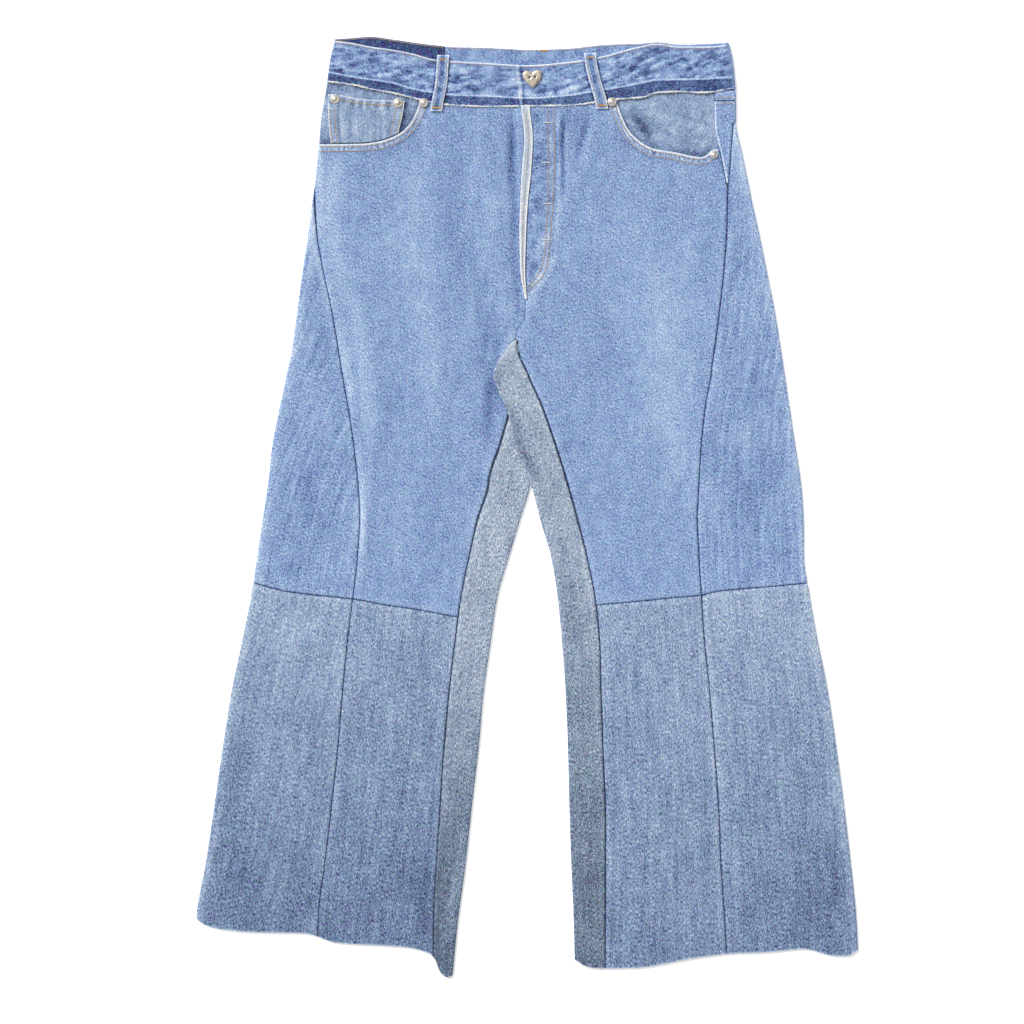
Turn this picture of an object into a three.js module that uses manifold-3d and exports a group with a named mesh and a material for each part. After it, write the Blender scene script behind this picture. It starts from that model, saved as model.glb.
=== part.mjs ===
// Flared jeans, re-cut from worn denim and laid flat with the front up.
// Millimetres. +X is towards the wearer's left, +Y from the hem to the waist, +Z up from the surface.
// The origin is the middle of the bounding box, on the surface that the jeans lie on.

import * as THREE from "three";
import { mergeVertices } from "three/addons/utils/BufferGeometryUtils.js";
import Module from "manifold-3d";

// Driving sizes

const CLOTH = 1.2; // one layer of denim
const BAND_CLOTH = 2.4; // the waistband, two layers
const SEAM_GAP = 0.3; // between one piece and the next
const BACK_LEVEL = CLOTH / 2; // middle of the layer that rests on the surface
const FRONT_LEVEL = 3.6; // middle of the upper layer
const FACING_LEVEL = 2.1; // middle of the pocket facings, under the upper layer
const BAND_FACE = 5.7; // outer face of the waistband
const BAND_BACK_LEVEL = BAND_CLOTH / 2; // middle of the back waistband
const LAP_LEVEL = 5.1; // middle of a single layer that lies on the upper layer
const CROSSING_RISE = 3; // how far the left leg's front rides up where it lies on the right leg
const CROSSING_UNDER_RISE = LAP_LEVEL - BACK_LEVEL; // and how far its turned-under edge does
const BAND_TUCK = 8; // how far the panels reach up under the waistband's raw edge
const FACING_TUCK = 10; // how far a pocket facing reaches under the front panel
const OUTSEAM_REACH = 23; // how far the back wraps to the front at the left hip
const POCKET_HEM_RISE = 0.9; // the stitched hem of a pocket mouth stands this proud
const POCKET_HEM_WIDTH = 9;
const ROW_SPACING = 26; // along a leg

// Denim and metal, as seen from a step away

const COLOURS = {
  front: 0x8ea8cc,
  side: 0x87a2cc,
  inseam: 0x93a6c2,
  lowerOuter: 0x8498b6,
  lowerInner: 0x7c92b4,
  back: 0x86a0c6,
  band: 0x8aa3c9,
  insert: 0x56647f,
  pale: 0xc9d2dc,
  pocket: 0x98acc8,
  metal: 0xb9b9b4,
};

// Tables and the smooth curves through them

// A table's rows, each as an object that is keyed by the column names.
function table(columns, rows) {
  return rows.map((row) => Object.fromEntries(columns.map((name, i) => [name, row[i]])));
}

// A smooth curve through one column of a table, without overshoot between its rows.
function curve(rows, along, column) {
  const known = rows.filter((row) => row[column] !== null && row[column] !== undefined);
  const at = known.map((row) => row[along]);
  const value = known.map((row) => row[column]);
  const slope = at.slice(1).map((a, i) => (value[i + 1] - value[i]) / (a - at[i]));
  const tangent = value.map((_, i) => {
    if (i === 0) return slope[0];
    if (i === value.length - 1) return slope[i - 1];
    const before = slope[i - 1];
    const after = slope[i];
    return before * after <= 0 ? 0 : (2 * before * after) / (before + after);
  });
  return (position) => {
    const p = THREE.MathUtils.clamp(position, at[0], at[at.length - 1]);
    let i = at.findIndex((a) => a > p) - 1;
    if (i < 0) i = at.length - 2;
    const span = at[i + 1] - at[i];
    const t = (p - at[i]) / span;
    const blend = t * t * (3 - 2 * t);
    const rise = span * (tangent[i] * t * (1 - t) ** 2 - tangent[i + 1] * t * t * (1 - t));
    return value[i] + (value[i + 1] - value[i]) * blend + rise;
  };
}

const { smoothstep, lerp, degToRad } = THREE.MathUtils;

// Sections of the two legs at heights above the lowest point of the hem.
// outer and inner are the x of the folds at the leg's two edges.
// The other columns say how far each seam lies from its fold, round the cloth:
// side and inseam are on the front, and sideBack and inseamBack on the back.

const RIGHT_LEG = table(
  ["height", "outer", "side", "sideBack", "inseam", "inseamBack", "inner"],
  [
    [0, -348.5, 123, 96, 20, 26, -78.5],
    [60, -347.5, 128.5, 95, 26, 27, -72.5],
    [120, -337.5, 125.5, 93, 31, 28, -64.5],
    [180, -328.5, 123.5, 91, 33.5, 29, -58],
    [240, -320, 121.5, 88, 36.5, 30, -51],
    [300, -310.5, 117, 85, 36.5, 30, -45.5],
    [360, -298, 110.5, 82, 38, 30, -37],
    [400, -290, 107.5, 80, 38.5, 30, -31],
    [440, -284, 106, 78, 42, 30, -19.5],
    [480, -278, 102.5, 75, 44.5, 29, -7.5],
    [520, -272, 94.5, 70, 43, 28, 3],
    [560, -267.5, 85.5, 62, 27.5, 22, -0.5],
    [600, -259.5, 71.5, 54, 13, 12, -4.5],
    [640, -251, 56, 45, 7, 5, -7],
    [656, -247.5, 50, 41, 5, 3.2, -7.5],
    [700, -241.5, 36.5, 32, null, null, null],
    [740, -236, 22.5, 24, null, null, null],
    [780, -230, 9.5, 17, null, null, null],
    [820, -225, 1.5, 11, null, null, null],
    [862, -219.5, -4, 6.6, null, null, null],
    [900, -216.5, -5.5, 6.2, null, null, null],
    [930, -211.5, -5.5, 6.2, null, null, null],
    [960, -207.5, null, null, null, null, null],
    [985, -201.5, null, null, null, null, null],
  ],
);

const LEFT_LEG = table(
  ["height", "inner", "inseam", "inseamBack", "side", "sideBack", "outer"],
  [
    [0, 50, 32, 27, 138.5, 100, 348.5],
    [60, 48.5, 33.5, 28, 138.5, 98, 345.5],
    [120, 46, 36, 28, 136.5, 96, 339.5],
    [180, 44, 38, 29, 132, 94, 332.5],
    [240, 42.5, 37, 30, 128.5, 91, 324.5],
    [300, 40, 37.5, 30, 124.5, 88, 315.5],
    [360, 35.5, 40, 30, 118.5, 85, 303.5],
    [400, 31.5, 39.5, 30, 114, 82, 296.5],
    [440, 25, 38, 29, 110.5, 79, 290.5],
    [480, 13.5, 39, 24, 112, 75, 290],
    [500, 8.5, 38.5, 14, 110, 72, 289],
    [520, 3, 38, 8.5, 107, 69, 287],
    [560, -9, 37.5, 8, 98.5, 60, 281],
    [600, -23.5, 38, 8, 88, 50, 275],
    [620, -32, 37.5, 8, 81.5, 46, 272],
    [630, -35.5, 36.5, 8, 78, 44, 270.5],
    [640, -33.5, 30, 7, 75.5, 42, 269],
    [650, -28.5, 20.5, 6, 72.5, 40, 267.5],
    [660, -20.5, 9.5, 4, 69.5, 38, 266],
    [700, null, null, null, 58, 30, 259.5],
    [740, null, null, null, 45.5, 22, 251.5],
    [780, null, null, null, 34.5, 15, 243.5],
    [820, null, null, null, 24.5, 9, 234.5],
    [860, null, null, null, 13.5, 3.6, 226.5],
    [898, null, null, null, 2.8, 3.2, 219],
    [920, null, null, null, 1.2, 3.2, 219],
    [960, null, null, null, null, null, 216],
    [985, null, null, null, null, null, 210],
  ],
);

const INSEAM_TOP_RIGHT = 656; // the top of the right inseam panel, hidden by the left one
const INSEAM_TOP_LEFT = 660;
const SIDE_TOP_RIGHT = 862; // the points of the side panels, at the hips
const SIDE_TOP_LEFT = 897;
const SIDE_MEETS_OUTSEAM = 826; // the side panel's front seam runs into the left outseam here
const YOKE_CENTRE = 872; // heights of the yoke seam, and of the back waistband's lower edge
const YOKE_SIDE = 919.5;
const YOKE_HALF_WIDTH = 190;
const WAIST_HALF_WIDTH = 212;
const BAND_EDGE_RIGHT = 940;
const BAND_EDGE_LEFT = 931;
const BACK_CLOSES = [498, 528];
const BACK_CENTRE = [657, 692]; // above the crotch the two backs run together into the centre seam
const FACING_RIGHT_END = -103;
const FACING_LEFT_START = 86;

// Rivets, by place, radius and the level of their base
const RIVETS = table(
  ["name", "x", "height", "radius", "level"],
  [
    ["rivet_coin_outer", -202, 921.4, 5.1, 4.5],
    ["rivet_coin_inner", -135.5, 917.2, 5.1, 4.5],
    ["rivet_right", -108.7, 917.2, 4.8, 6],
    ["rivet_left", 88.7, 918.2, 4.8, 6],
    ["rivet_hip", 195.8, 862.6, 4, 5.4],
  ],
);

const BUTTON = {
  x: 5.3,
  height: 942,
  tilt: 4,
  halfWidth: 10,
  notch: 6,
  dip: 1.2,
  rise: 3.6,
  shoulder: 5.5,
  tip: -9.6,
  tipCurve: 2.5,
  tipWidth: 1.8,
  widest: 1.5, // below the notch
  waist: 8, // below the notch, where the sides begin to draw in
  thick: 2.8,
  bevel: 0.6,
  hole: 1.2,
  holes: [-2.9, 2.9],
  holeHeight: 2,
};

// Seams and edges that run across, by x

const KNEE = table(
  ["x", "height"],
  [
    [-290, 415],
    [-260, 406.5],
    [-235, 402.5],
    [-183, 397],
    [-150, 391],
    [-110, 385],
    [-75, 378.5],
    [-20, 372],
    [25, 384],
    [73, 390.5],
    [110, 394],
    [150, 398],
    [182, 401],
    [200, 405],
    [230, 408],
    [260, 410.5],
    [297, 414],
  ],
);

const HEM = table(
  ["x", "height"],
  [
    [-347, 61],
    [-337, 54.5],
    [-320, 50.5],
    [-285, 47.5],
    [-235, 46.5],
    [-200, 36.5],
    [-130, 32],
    [-103, 25.5],
    [-97, 19],
    [-91, 5],
    [-84, 0],
    [-76, 3],
    [50, 18],
    [60, 12],
    [75, 9.5],
    [110, 10],
    [180, 21],
    [213, 25],
    [250, 26.5],
    [290, 30],
    [320, 23],
    [335, 22.5],
    [348, 30],
  ],
);

const WAIST = table(
  ["x", "backTop", "frontTop", "rawEdge"],
  [
    [-208, 984, 983, 939],
    [-185, 985.5, 980.5, 936],
    [-165, 987, 976.5, 931.5],
    [-140, 984, 973, 927],
    [-120, 981, 969, 922],
    [-100, 978.5, 963.5, 917.5],
    [-80, 976.5, 961.5, 914.5],
    [-40, 975.5, 959, 913],
    [0, 973.5, 957, 913.5],
    [40, 974.5, 960, 914],
    [80, 978.5, 966.5, 918.5],
    [100, 979.5, 972, 921],
    [120, 980, 977, 922.5],
    [136, 981.5, 979.5, 927.5],
    [160, 979, 976.5, 928.5],
    [185, 979.5, 976.5, 927.5],
    [216, 981, 979, 932],
  ],
);

const SCOOP_RIGHT = table(
  ["x", "height"],
  [
    [-216, 874],
    [-175, 874.5],
    [-155, 877],
    [-144, 880.5],
    [-133, 886],
    [-123, 895.5],
    [-119, 902.5],
    [-115.5, 910.5],
    [-112, 922],
  ],
);

const SCOOP_LEFT = table(
  ["x", "height"],
  [
    [92, 923],
    [94.5, 916.5],
    [97, 909],
    [103, 894.5],
    [108, 886.5],
    [115, 879.5],
    [124, 873],
    [134, 869],
    [155, 865.5],
    [176, 861],
    [182, 860.5],
    [187, 862],
    [194, 868],
    [200, 869],
  ],
);

// The front rise: where the two fronts meet under the fly, down to the crotch.
const RISE = table(
  ["height", "x"],
  [
    [656, -12.5],
    [669, -12],
    [680, -10],
    [692, -2.5],
    [712, -2],
    [930, -2],
  ],
);

const FLY_STRIP = table(
  ["height", "right", "left"],
  [
    [711, -2.6, -0.4],
    [742, -7.4, -2.1],
    [784, -8.4, -1],
    [816, -7.4, 1],
    [847, -5.8, 4.2],
    [879, -3.2, 5.8],
    [911, -6.3, 2.6],
  ],
);

const BAND_END = table(
  ["height", "x"],
  [
    [913, -6.5],
    [935, -8],
    [947, -9.5],
    [958, -11],
  ],
);

const COIN_POCKET = table(
  ["height", "outer", "inner"],
  [
    [873, -206, -137],
    [890, -208, -134],
    [905, -209, -130.5],
    [927, -209, -127.5],
  ],
);

const COIN_TOP = table(
  ["x", "height"],
  [
    [-209, 926.5],
    [-195, 925.5],
    [-180, 922.5],
    [-165, 921],
    [-127, 919.5],
  ],
);

// Belt loops: height along each strip, its middle, and the level of its middle layer.
const LOOP_WIDTH = 12;
const LOOP_CLOTH = 2;
const LOOPS = {
  belt_loop_right: table(
    ["height", "x", "level"],
    [
      [908.5, -95.5, 5.6],
      [913, -95, 6.2],
      [916, -94.5, 7],
      [940, -90, 7],
      [955, -89, 7],
      [963.4, -88.5, 7],
      [966.8, -88, 5.8],
    ],
  ),
  belt_loop_left: table(
    ["height", "x", "level"],
    [
      [911, 78.5, 5.6],
      [914.5, 78, 6.2],
      [917.5, 77.5, 7],
      [942, 70.5, 7],
      [957, 67, 7],
      [965.6, 66, 7],
      [969, 66, 5.8],
    ],
  ),
};

// The largest folds: soft ridges, and troughs where rise is negative.
// angle is turned from +X, and length and width are the distances to where the fold ends.
const FOLDS = table(
  ["x", "height", "angle", "length", "width", "rise"],
  [
    [-19, 863, 91, 75, 10, -0.7],
    [-13, 755, 96, 80, 11, -0.6],
    [15, 828, 90, 130, 17, 0.8],
    [38, 866, 90, 62, 8, 0.7],
    [58, 886, 74, 42, 8, 0.8],
    [-102, 575, 94, 210, 34, 1.2],
    [-160, 700, 82, 120, 30, 0.8],
    [119, 600, 84, 215, 36, 1.2],
    [62, 745, 97, 110, 24, 0.7],
    [-55, 480, 78, 110, 22, -0.6],
    [96, 440, 96, 110, 20, -0.6],
    [-255, 190, 81, 170, 36, 1.1],
    [-150, 170, 86, 170, 34, 1.2],
    [-203, 120, 83, 120, 18, -0.6],
    [140, 180, 92, 170, 36, 1.2],
    [268, 190, 97, 170, 38, 1.1],
    [204, 110, 94, 110, 18, -0.6],
  ],
);

// Height of the folds at a place on the front.
function foldRise(x, height) {
  let rise = 0;
  for (const fold of FOLDS) {
    const cos = Math.cos(degToRad(fold.angle));
    const sin = Math.sin(degToRad(fold.angle));
    const along = ((x - fold.x) * cos + (height - fold.height) * sin) / fold.length;
    const across = ((height - fold.height) * cos - (x - fold.x) * sin) / fold.width;
    if (Math.abs(along) < 1 && Math.abs(across) < 1)
      rise += fold.rise * (1 - along ** 2) ** 2 * (1 - across ** 2) ** 2;
  }
  return rise;
}

const column = (rows, name) => curve(rows, "height", name);
const across = (rows, name) => curve(rows, "x", name);

const legs = { right: RIGHT_LEG, left: LEFT_LEG };
for (const side of Object.keys(legs)) {
  const rows = legs[side];
  legs[side] = {};
  for (const name of Object.keys(rows[0])) {
    if (name !== "height") legs[side][name] = column(rows, name);
  }
}
const knee = across(KNEE, "height");
const hem = across(HEM, "height");
const backTop = across(WAIST, "backTop");
const frontTop = across(WAIST, "frontTop");
const rawEdge = across(WAIST, "rawEdge");
const scoopRight = across(SCOOP_RIGHT, "height");
const scoopLeft = across(SCOOP_LEFT, "height");
const rise = column(RISE, "x");

// Where the left leg lies on the right leg, near the crotch: 0 clear of it, 1 fully on it.
const CROSSING_START = 480;
const CROSSING_FULL = 524;
const CROSSING_FADE = 630;
const CROSSING_END = 680;
const crossing = (height) => smoothstep(height, CROSSING_START, CROSSING_FULL);
const crossingFront = (height) =>
  crossing(height) * (1 - smoothstep(height, CROSSING_FADE, CROSSING_END));

// A fold at one edge of a leg. Positions round the cloth are measured from its tip:
// positive on the front, negative on the back.
const FLAT_BY_FOLD = 26; // the folds of the cloth die out this close to an edge
const UNDER_LAP = 36; // the right leg stays flat this far in, under the left one

function legFold(tip, outward, options = {}) {
  const cloth = options.cloth ?? CLOTH;
  const front = options.front ?? (() => FRONT_LEVEL);
  const back = options.back ?? (() => BACK_LEVEL);
  const flatBy = options.flatBy ?? (() => 0);
  const bend = (height) => {
    const radius = (front(height) - back(height)) / 2;
    return { radius, outer: radius + cloth / 2, quarter: (radius * Math.PI) / 2 };
  };
  return {
    tip,
    outward,
    quarter: (height) => bend(height).quarter,
    // The position round the cloth of a place on the front.
    reach(x, height) {
      const { outer, quarter } = bend(height);
      return outward * (tip(height) - x) - outer + quarter;
    },
    // The position round the cloth of a place on the back.
    backReach(x, height) {
      const { outer, quarter } = bend(height);
      return outer - quarter - outward * (tip(height) - x);
    },
    // The place of the middle of the cloth.
    point(position, height) {
      const { radius, outer, quarter } = bend(height);
      const angle = THREE.MathUtils.clamp(position / radius, -Math.PI / 2, Math.PI / 2);
      const flat = Math.max(0, Math.abs(position) - quarter);
      const x = tip(height) - outward * (outer - radius * Math.cos(angle) + flat);
      const middle = (front(height) + back(height)) / 2;
      let z = middle + radius * Math.sin(angle);
      if (position > quarter) {
        const start = flatBy(height);
        z += foldRise(x, height) * smoothstep(flat, start, start + FLAT_BY_FOLD);
        z += options.extra ? options.extra(x, height) : 0;
      }
      return { x, z };
    },
  };
}

const leftInseamX = (height) => legs.left.inner(height) + legs.left.inseam(height);

// How far the left front rides up beside the left inseam panel, where the legs cross.
const RIDE_WIDTH = 75;
function ride(x, height) {
  const beside = smoothstep(x - leftInseamX(height), 0, RIDE_WIDTH);
  return CROSSING_RISE * crossingFront(height) * (1 - beside);
}

// The hem of a pocket mouth, raised under its rows of stitching.
function pocketHem(mouth, from, to) {
  return (x, height) => {
    if (x < from || x > to) return 0;
    const below = Math.abs(mouth(x) - height) / POCKET_HEM_WIDTH;
    return POCKET_HEM_RISE * Math.max(0, 1 - below ** 2);
  };
}

const SCOOP_RIGHT_SPAN = [-230, -116];
const SCOOP_LEFT_SPAN = [98, 200];
const hemRight = pocketHem(scoopRight, ...SCOOP_RIGHT_SPAN);
const hemLeft = pocketHem(scoopLeft, ...SCOOP_LEFT_SPAN);

const outerRight = legFold(legs.right.outer, -1, { extra: hemRight });
const outerLeft = legFold(legs.left.outer, 1, {
  extra: (x, height) => hemLeft(x, height) + ride(x, height),
});
const innerRight = legFold(legs.right.inner, 1, {
  flatBy: (height) => UNDER_LAP * crossing(height),
});
const innerLeft = legFold(legs.left.inner, -1, {
  front: (height) => FRONT_LEVEL + CROSSING_RISE * crossing(height),
  back: (height) => BACK_LEVEL + CROSSING_UNDER_RISE * crossing(height),
});
const facingFold = legFold(legs.right.outer, -1, { front: () => FACING_LEVEL });
const bandFoldOptions = {
  cloth: BAND_CLOTH,
  front: () => BAND_FACE - BAND_CLOTH / 2,
  back: () => BAND_BACK_LEVEL,
};
const bandFoldRight = legFold(legs.right.outer, -1, bandFoldOptions);
const bandFoldLeft = legFold(legs.left.outer, 1, bandFoldOptions);

// Walls of cloth

// Evenly spaced fractions from 0 to 1.
const evenly = (count) => Array.from({ length: count + 1 }, (_, i) => i / count);

// A closed wall on a grid of points. over and under are how far it reaches to each side of the
// grid: over towards the face, under towards the inside. Each may depend on the row.
function wallGeometry(grid, over = () => CLOTH / 2, under = over) {
  const rows = grid.length;
  const columns = grid[0].length;
  const face = [];
  const inside = [];
  for (let j = 0; j < rows; j++) {
    for (let i = 0; i < columns; i++) {
      const alongU = grid[j][Math.min(i + 1, columns - 1)].clone();
      const alongV = grid[Math.min(j + 1, rows - 1)][i].clone();
      alongU.sub(grid[j][Math.max(i - 1, 0)]);
      alongV.sub(grid[Math.max(j - 1, 0)][i]);
      const normal = alongU.cross(alongV).normalize();
      face.push(grid[j][i].clone().addScaledVector(normal, over(j)));
      inside.push(grid[j][i].clone().addScaledVector(normal, -under(j)));
    }
  }
  const faces = [];
  const quad = (a, b, c, d) => faces.push(a, b, c, a, c, d);
  const at = (i, j) => j * columns + i;
  const below = rows * columns;
  for (let j = 0; j + 1 < rows; j++) {
    for (let i = 0; i + 1 < columns; i++) {
      const [a, b, c, d] = [at(i, j), at(i + 1, j), at(i + 1, j + 1), at(i, j + 1)];
      quad(a, b, c, d);
      quad(below + d, below + c, below + b, below + a);
    }
  }
  const rim = (a, b) => quad(a, below + a, below + b, b);
  for (let i = 0; i + 1 < columns; i++) {
    rim(at(i, 0), at(i + 1, 0));
    rim(at(i + 1, rows - 1), at(i, rows - 1));
  }
  for (let j = 0; j + 1 < rows; j++) {
    rim(at(columns - 1, j), at(columns - 1, j + 1));
    rim(at(0, j + 1), at(0, j));
  }
  const geometry = new THREE.BufferGeometry().setFromPoints([...face, ...inside]);
  geometry.setIndex(faces);
  geometry.computeVertexNormals();
  return geometry;
}

// A grid over a panel. columns are functions of height that give a position across it, in order
// towards +X on the face. place turns a position and a height into x and z.
// lower and upper are the panel's edges, as functions of x.
const SETTLE_PASSES = 12;
const HALF_GAP = SEAM_GAP / 2;

function panelGrid({ columns, place, lower, upper, spacing = ROW_SPACING, rows = null }) {
  const settle = (position, share) => {
    let height = (lower(0) + upper(0)) / 2;
    let spot = null;
    for (let pass = 0; pass < SETTLE_PASSES; pass++) {
      spot = place(position(height), height);
      height = lerp(lower(spot.x) + HALF_GAP, upper(spot.x) - HALF_GAP, share);
    }
    spot = place(position(height), height);
    return new THREE.Vector3(spot.x, height, spot.z);
  };
  const middle = columns[Math.floor(columns.length / 2)];
  const length = settle(middle, 1).y - settle(middle, 0).y;
  const shares = rows ?? evenly(Math.max(1, Math.round(length / spacing)));
  return shares.map((share) => columns.map((position) => settle(position, share)));
}

// Columns from one seam to another, at shares of the way, half a gap in from each.
function between(from, to, shares) {
  return shares.map((share) => (height) => {
    const a = from(height);
    const b = to(height);
    const inset = HALF_GAP * Math.sign(b - a);
    return lerp(a + inset, b - inset, share);
  });
}

// Columns of a strip that passes round a fold, from its seam on the front to its seam on the back.
// Both seams are positions round the cloth.
const BEND_SHARES = [1, 1 / 3, -1 / 3, -1];
const LEAST_STEP = 0.25;

function roundFold(fold, frontSeam, backSeam, frontCount, backCount) {
  const front = (height) => frontSeam(height) - HALF_GAP;
  const back = (height) => backSeam(height) + HALF_GAP;
  const bends = BEND_SHARES.map((share, k) => (height) => {
    const most = front(height) - LEAST_STEP * (k + 1);
    const least = back(height) + LEAST_STEP * (BEND_SHARES.length - k);
    return Math.max(least, Math.min(most, fold.quarter(height) * share));
  });
  const first = bends[0];
  const last = bends[bends.length - 1];
  const ahead = evenly(frontCount).slice(0, -1);
  const behind = evenly(backCount).slice(1);
  const columns = [
    ...ahead.map((share) => (height) => lerp(front(height), first(height), share)),
    ...bends,
    ...behind.map((share) => (height) => lerp(last(height), back(height), share)),
  ];
  return fold.outward > 0 ? columns : columns.reverse();
}

const minus = (distance) => (height) => -distance(height);

const group = new THREE.Group();

function add(name, geometry, colour, roughness = 0.95, metalness = 0) {
  const material = new THREE.MeshStandardMaterial({ color: colour, roughness, metalness });
  const mesh = new THREE.Mesh(geometry, material);
  mesh.name = name;
  group.add(mesh);
  return mesh;
}

// Side panels and the outer lower panels, round the outer folds

const OUTER_FRONT_COLUMNS = 4;
const INNER_FRONT_COLUMNS = 3;
const BACK_COLUMNS = 2;

function outerStrip(name, leg, fold, colour, lower, upper) {
  const columns = roundFold(
    fold,
    leg.side,
    minus(leg.sideBack),
    OUTER_FRONT_COLUMNS,
    BACK_COLUMNS,
  );
  add(name, wallGeometry(panelGrid({ columns, place: fold.point, lower, upper })), colour);
}

outerStrip("side_right", legs.right, outerRight, COLOURS.side, knee, () => SIDE_TOP_RIGHT);
outerStrip("side_left", legs.left, outerLeft, COLOURS.side, knee, () => SIDE_TOP_LEFT);
outerStrip("lower_outer_right", legs.right, outerRight, COLOURS.lowerOuter, hem, knee);
outerStrip("lower_outer_left", legs.left, outerLeft, COLOURS.lowerOuter, hem, knee);

// Inseam panels, round the inner folds from the hem to the crotch

function innerStrip(name, leg, fold, top) {
  const columns = roundFold(
    fold,
    leg.inseam,
    minus(leg.inseamBack),
    INNER_FRONT_COLUMNS,
    BACK_COLUMNS,
  );
  const grid = panelGrid({ columns, place: fold.point, lower: hem, upper: () => top });
  add(name, wallGeometry(grid), COLOURS.inseam);
}

innerStrip("inseam_right", legs.right, innerRight, INSEAM_TOP_RIGHT);
innerStrip("inseam_left", legs.left, innerLeft, INSEAM_TOP_LEFT);

// Front panels

const tuckLine = (x) => rawEdge(x) + BAND_TUCK;
const rightInseamX = (height) => legs.right.inner(height) - legs.right.inseam(height);
const CROTCH_EASE = 1; // more room beside the inseam panels where they turn sharply
const CROTCH_TURN = [440, 500];
const crotchEase = (height) => CROTCH_EASE * smoothstep(height, ...CROTCH_TURN);
const frontRightInner = (height) => {
  const x = height < INSEAM_TOP_RIGHT ? rightInseamX(height) - crotchEase(height) : rise(height);
  return outerRight.reach(x, height);
};
const frontLeftInner = (height) => {
  const x = height < INSEAM_TOP_LEFT ? leftInseamX(height) + crotchEase(height) : rise(height);
  return outerLeft.reach(x, height);
};
const SIDE_EASE = 0.15;
const frontLeftOuter = (height) =>
  height < SIDE_MEETS_OUTSEAM ? legs.left.side(height) + SIDE_EASE : OUTSEAM_REACH;

const FRONT_ROW_COUNT = 20;
const POCKET_ROW = 0.98; // one row lies just below the pocket mouth
const frontRows = [...evenly(FRONT_ROW_COUNT).slice(0, -1), POCKET_ROW, 1];

// Above the point of the side panel the right front passes round the fold itself.
const HIP_EASE = 1; // more room there
const HIP_STEPS = [8, 0.3]; // least distance from column to column, below the turn and above it
const HIP_TURN = [770, 812];
const frontRightOuter = (height) => legs.right.side(height) + HIP_EASE * smoothstep(height, ...HIP_TURN);
const hipColumns = [...BEND_SHARES].reverse().map((share, k) => (height) => {
  const step = lerp(...HIP_STEPS, smoothstep(height, ...HIP_TURN));
  const least = frontRightOuter(height) + step * (k + 1);
  return Math.max(least, outerRight.quarter(height) * share);
});
const RIGHT_SHARES = [0, 0.25, 0.33, 0.39, 0.43, 0.46, 0.485, 0.51, 0.6, 0.72, 0.86, 1];
const LEFT_SHARES = [0, 0.14, 0.28, 0.4, 0.47, 0.49, 0.51, 0.54, 0.58, 0.65, 0.78, 0.9, 1];
const rightColumns = between(frontRightOuter, frontRightInner, RIGHT_SHARES);
rightColumns.splice(1, 0, ...hipColumns);

function frontPanel(name, columns, fold, mouth) {
  const upper = (x) => Math.min(mouth(x), tuckLine(x));
  const grid = panelGrid({ columns, place: fold.point, lower: knee, upper, rows: frontRows });
  add(name, wallGeometry(grid), COLOURS.front);
}

frontPanel("front_right", rightColumns, outerRight, scoopRight);
frontPanel(
  "front_left",
  between(frontLeftInner, frontLeftOuter, LEFT_SHARES),
  outerLeft,
  scoopLeft,
);

// Inner lower panels, flat on the front

const LOWER_INNER_COLUMNS = 6;

function lowerInner(name, leg, fold, insideX) {
  const inside = (height) => fold.reach(insideX(height), height);
  const [from, to] = fold.outward > 0 ? [inside, leg.side] : [leg.side, inside];
  const columns = between(from, to, evenly(LOWER_INNER_COLUMNS));
  const grid = panelGrid({ columns, place: fold.point, lower: hem, upper: knee });
  add(name, wallGeometry(grid), COLOURS.lowerInner);
}

lowerInner("lower_inner_right", legs.right, outerRight, rightInseamX);
lowerInner("lower_inner_left", legs.left, outerLeft, leftInseamX);

// Back panels and yokes, flat on the surface. Their columns are places along x.

const onBack = (x) => ({ x, z: BACK_LEVEL });
const yokeSeam = (x) => lerp(YOKE_CENTRE, YOKE_SIDE, Math.min(1, Math.abs(x) / YOKE_HALF_WIDTH));
const bandEdgeBack = (x) =>
  lerp(BAND_EDGE_RIGHT, BAND_EDGE_LEFT, (x + WAIST_HALF_WIDTH) / (2 * WAIST_HALF_WIDTH));

const backX = (fold, distance) => (height) => fold.point(-distance(height), height).x;
const BACK_EASE = 0.3; // more room at the back's side seams
const sideBackRight = backX(outerRight, (height) => legs.right.sideBack(height) + BACK_EASE);
const sideBackLeft = backX(outerLeft, (height) => legs.left.sideBack(height) + BACK_EASE);
const INNER_BACK_EASE = 1.4;
const inseamBackRight = backX(innerRight, (height) => legs.right.inseamBack(height) + INNER_BACK_EASE);
const inseamBackLeft = backX(innerLeft, (height) => legs.left.inseamBack(height) + INNER_BACK_EASE);

// Where the left inseam panel leaves the surface, the left back reaches over to the right leg.
function backInnerLeft(height) {
  const apart = inseamBackLeft(Math.min(height, BACK_CLOSES[0]));
  const beside = legs.right.inner(Math.min(height, BACK_CENTRE[0])) + 2 * SEAM_GAP;
  const closed = lerp(apart, beside, smoothstep(height, ...BACK_CLOSES));
  return closed * (1 - smoothstep(height, ...BACK_CENTRE));
}
const backInnerRight = (height) =>
  inseamBackRight(Math.min(height, BACK_CENTRE[0])) * (1 - smoothstep(height, ...BACK_CENTRE));

const BACK_SHARES = evenly(4);

function backPanel(name, from, to, lower, upper, colour) {
  const columns = between(from, to, BACK_SHARES);
  add(name, wallGeometry(panelGrid({ columns, place: onBack, lower, upper })), colour);
}

const lowerColour = COLOURS.lowerInner;
backPanel("back_right", sideBackRight, backInnerRight, knee, yokeSeam, COLOURS.back);
backPanel("back_left", backInnerLeft, sideBackLeft, knee, yokeSeam, COLOURS.back);
backPanel("lower_back_right", sideBackRight, backInnerRight, hem, knee, lowerColour);
backPanel("lower_back_left", backInnerLeft, sideBackLeft, hem, knee, lowerColour);
backPanel("yoke_right", sideBackRight, () => 0, yokeSeam, bandEdgeBack, COLOURS.back);

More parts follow.
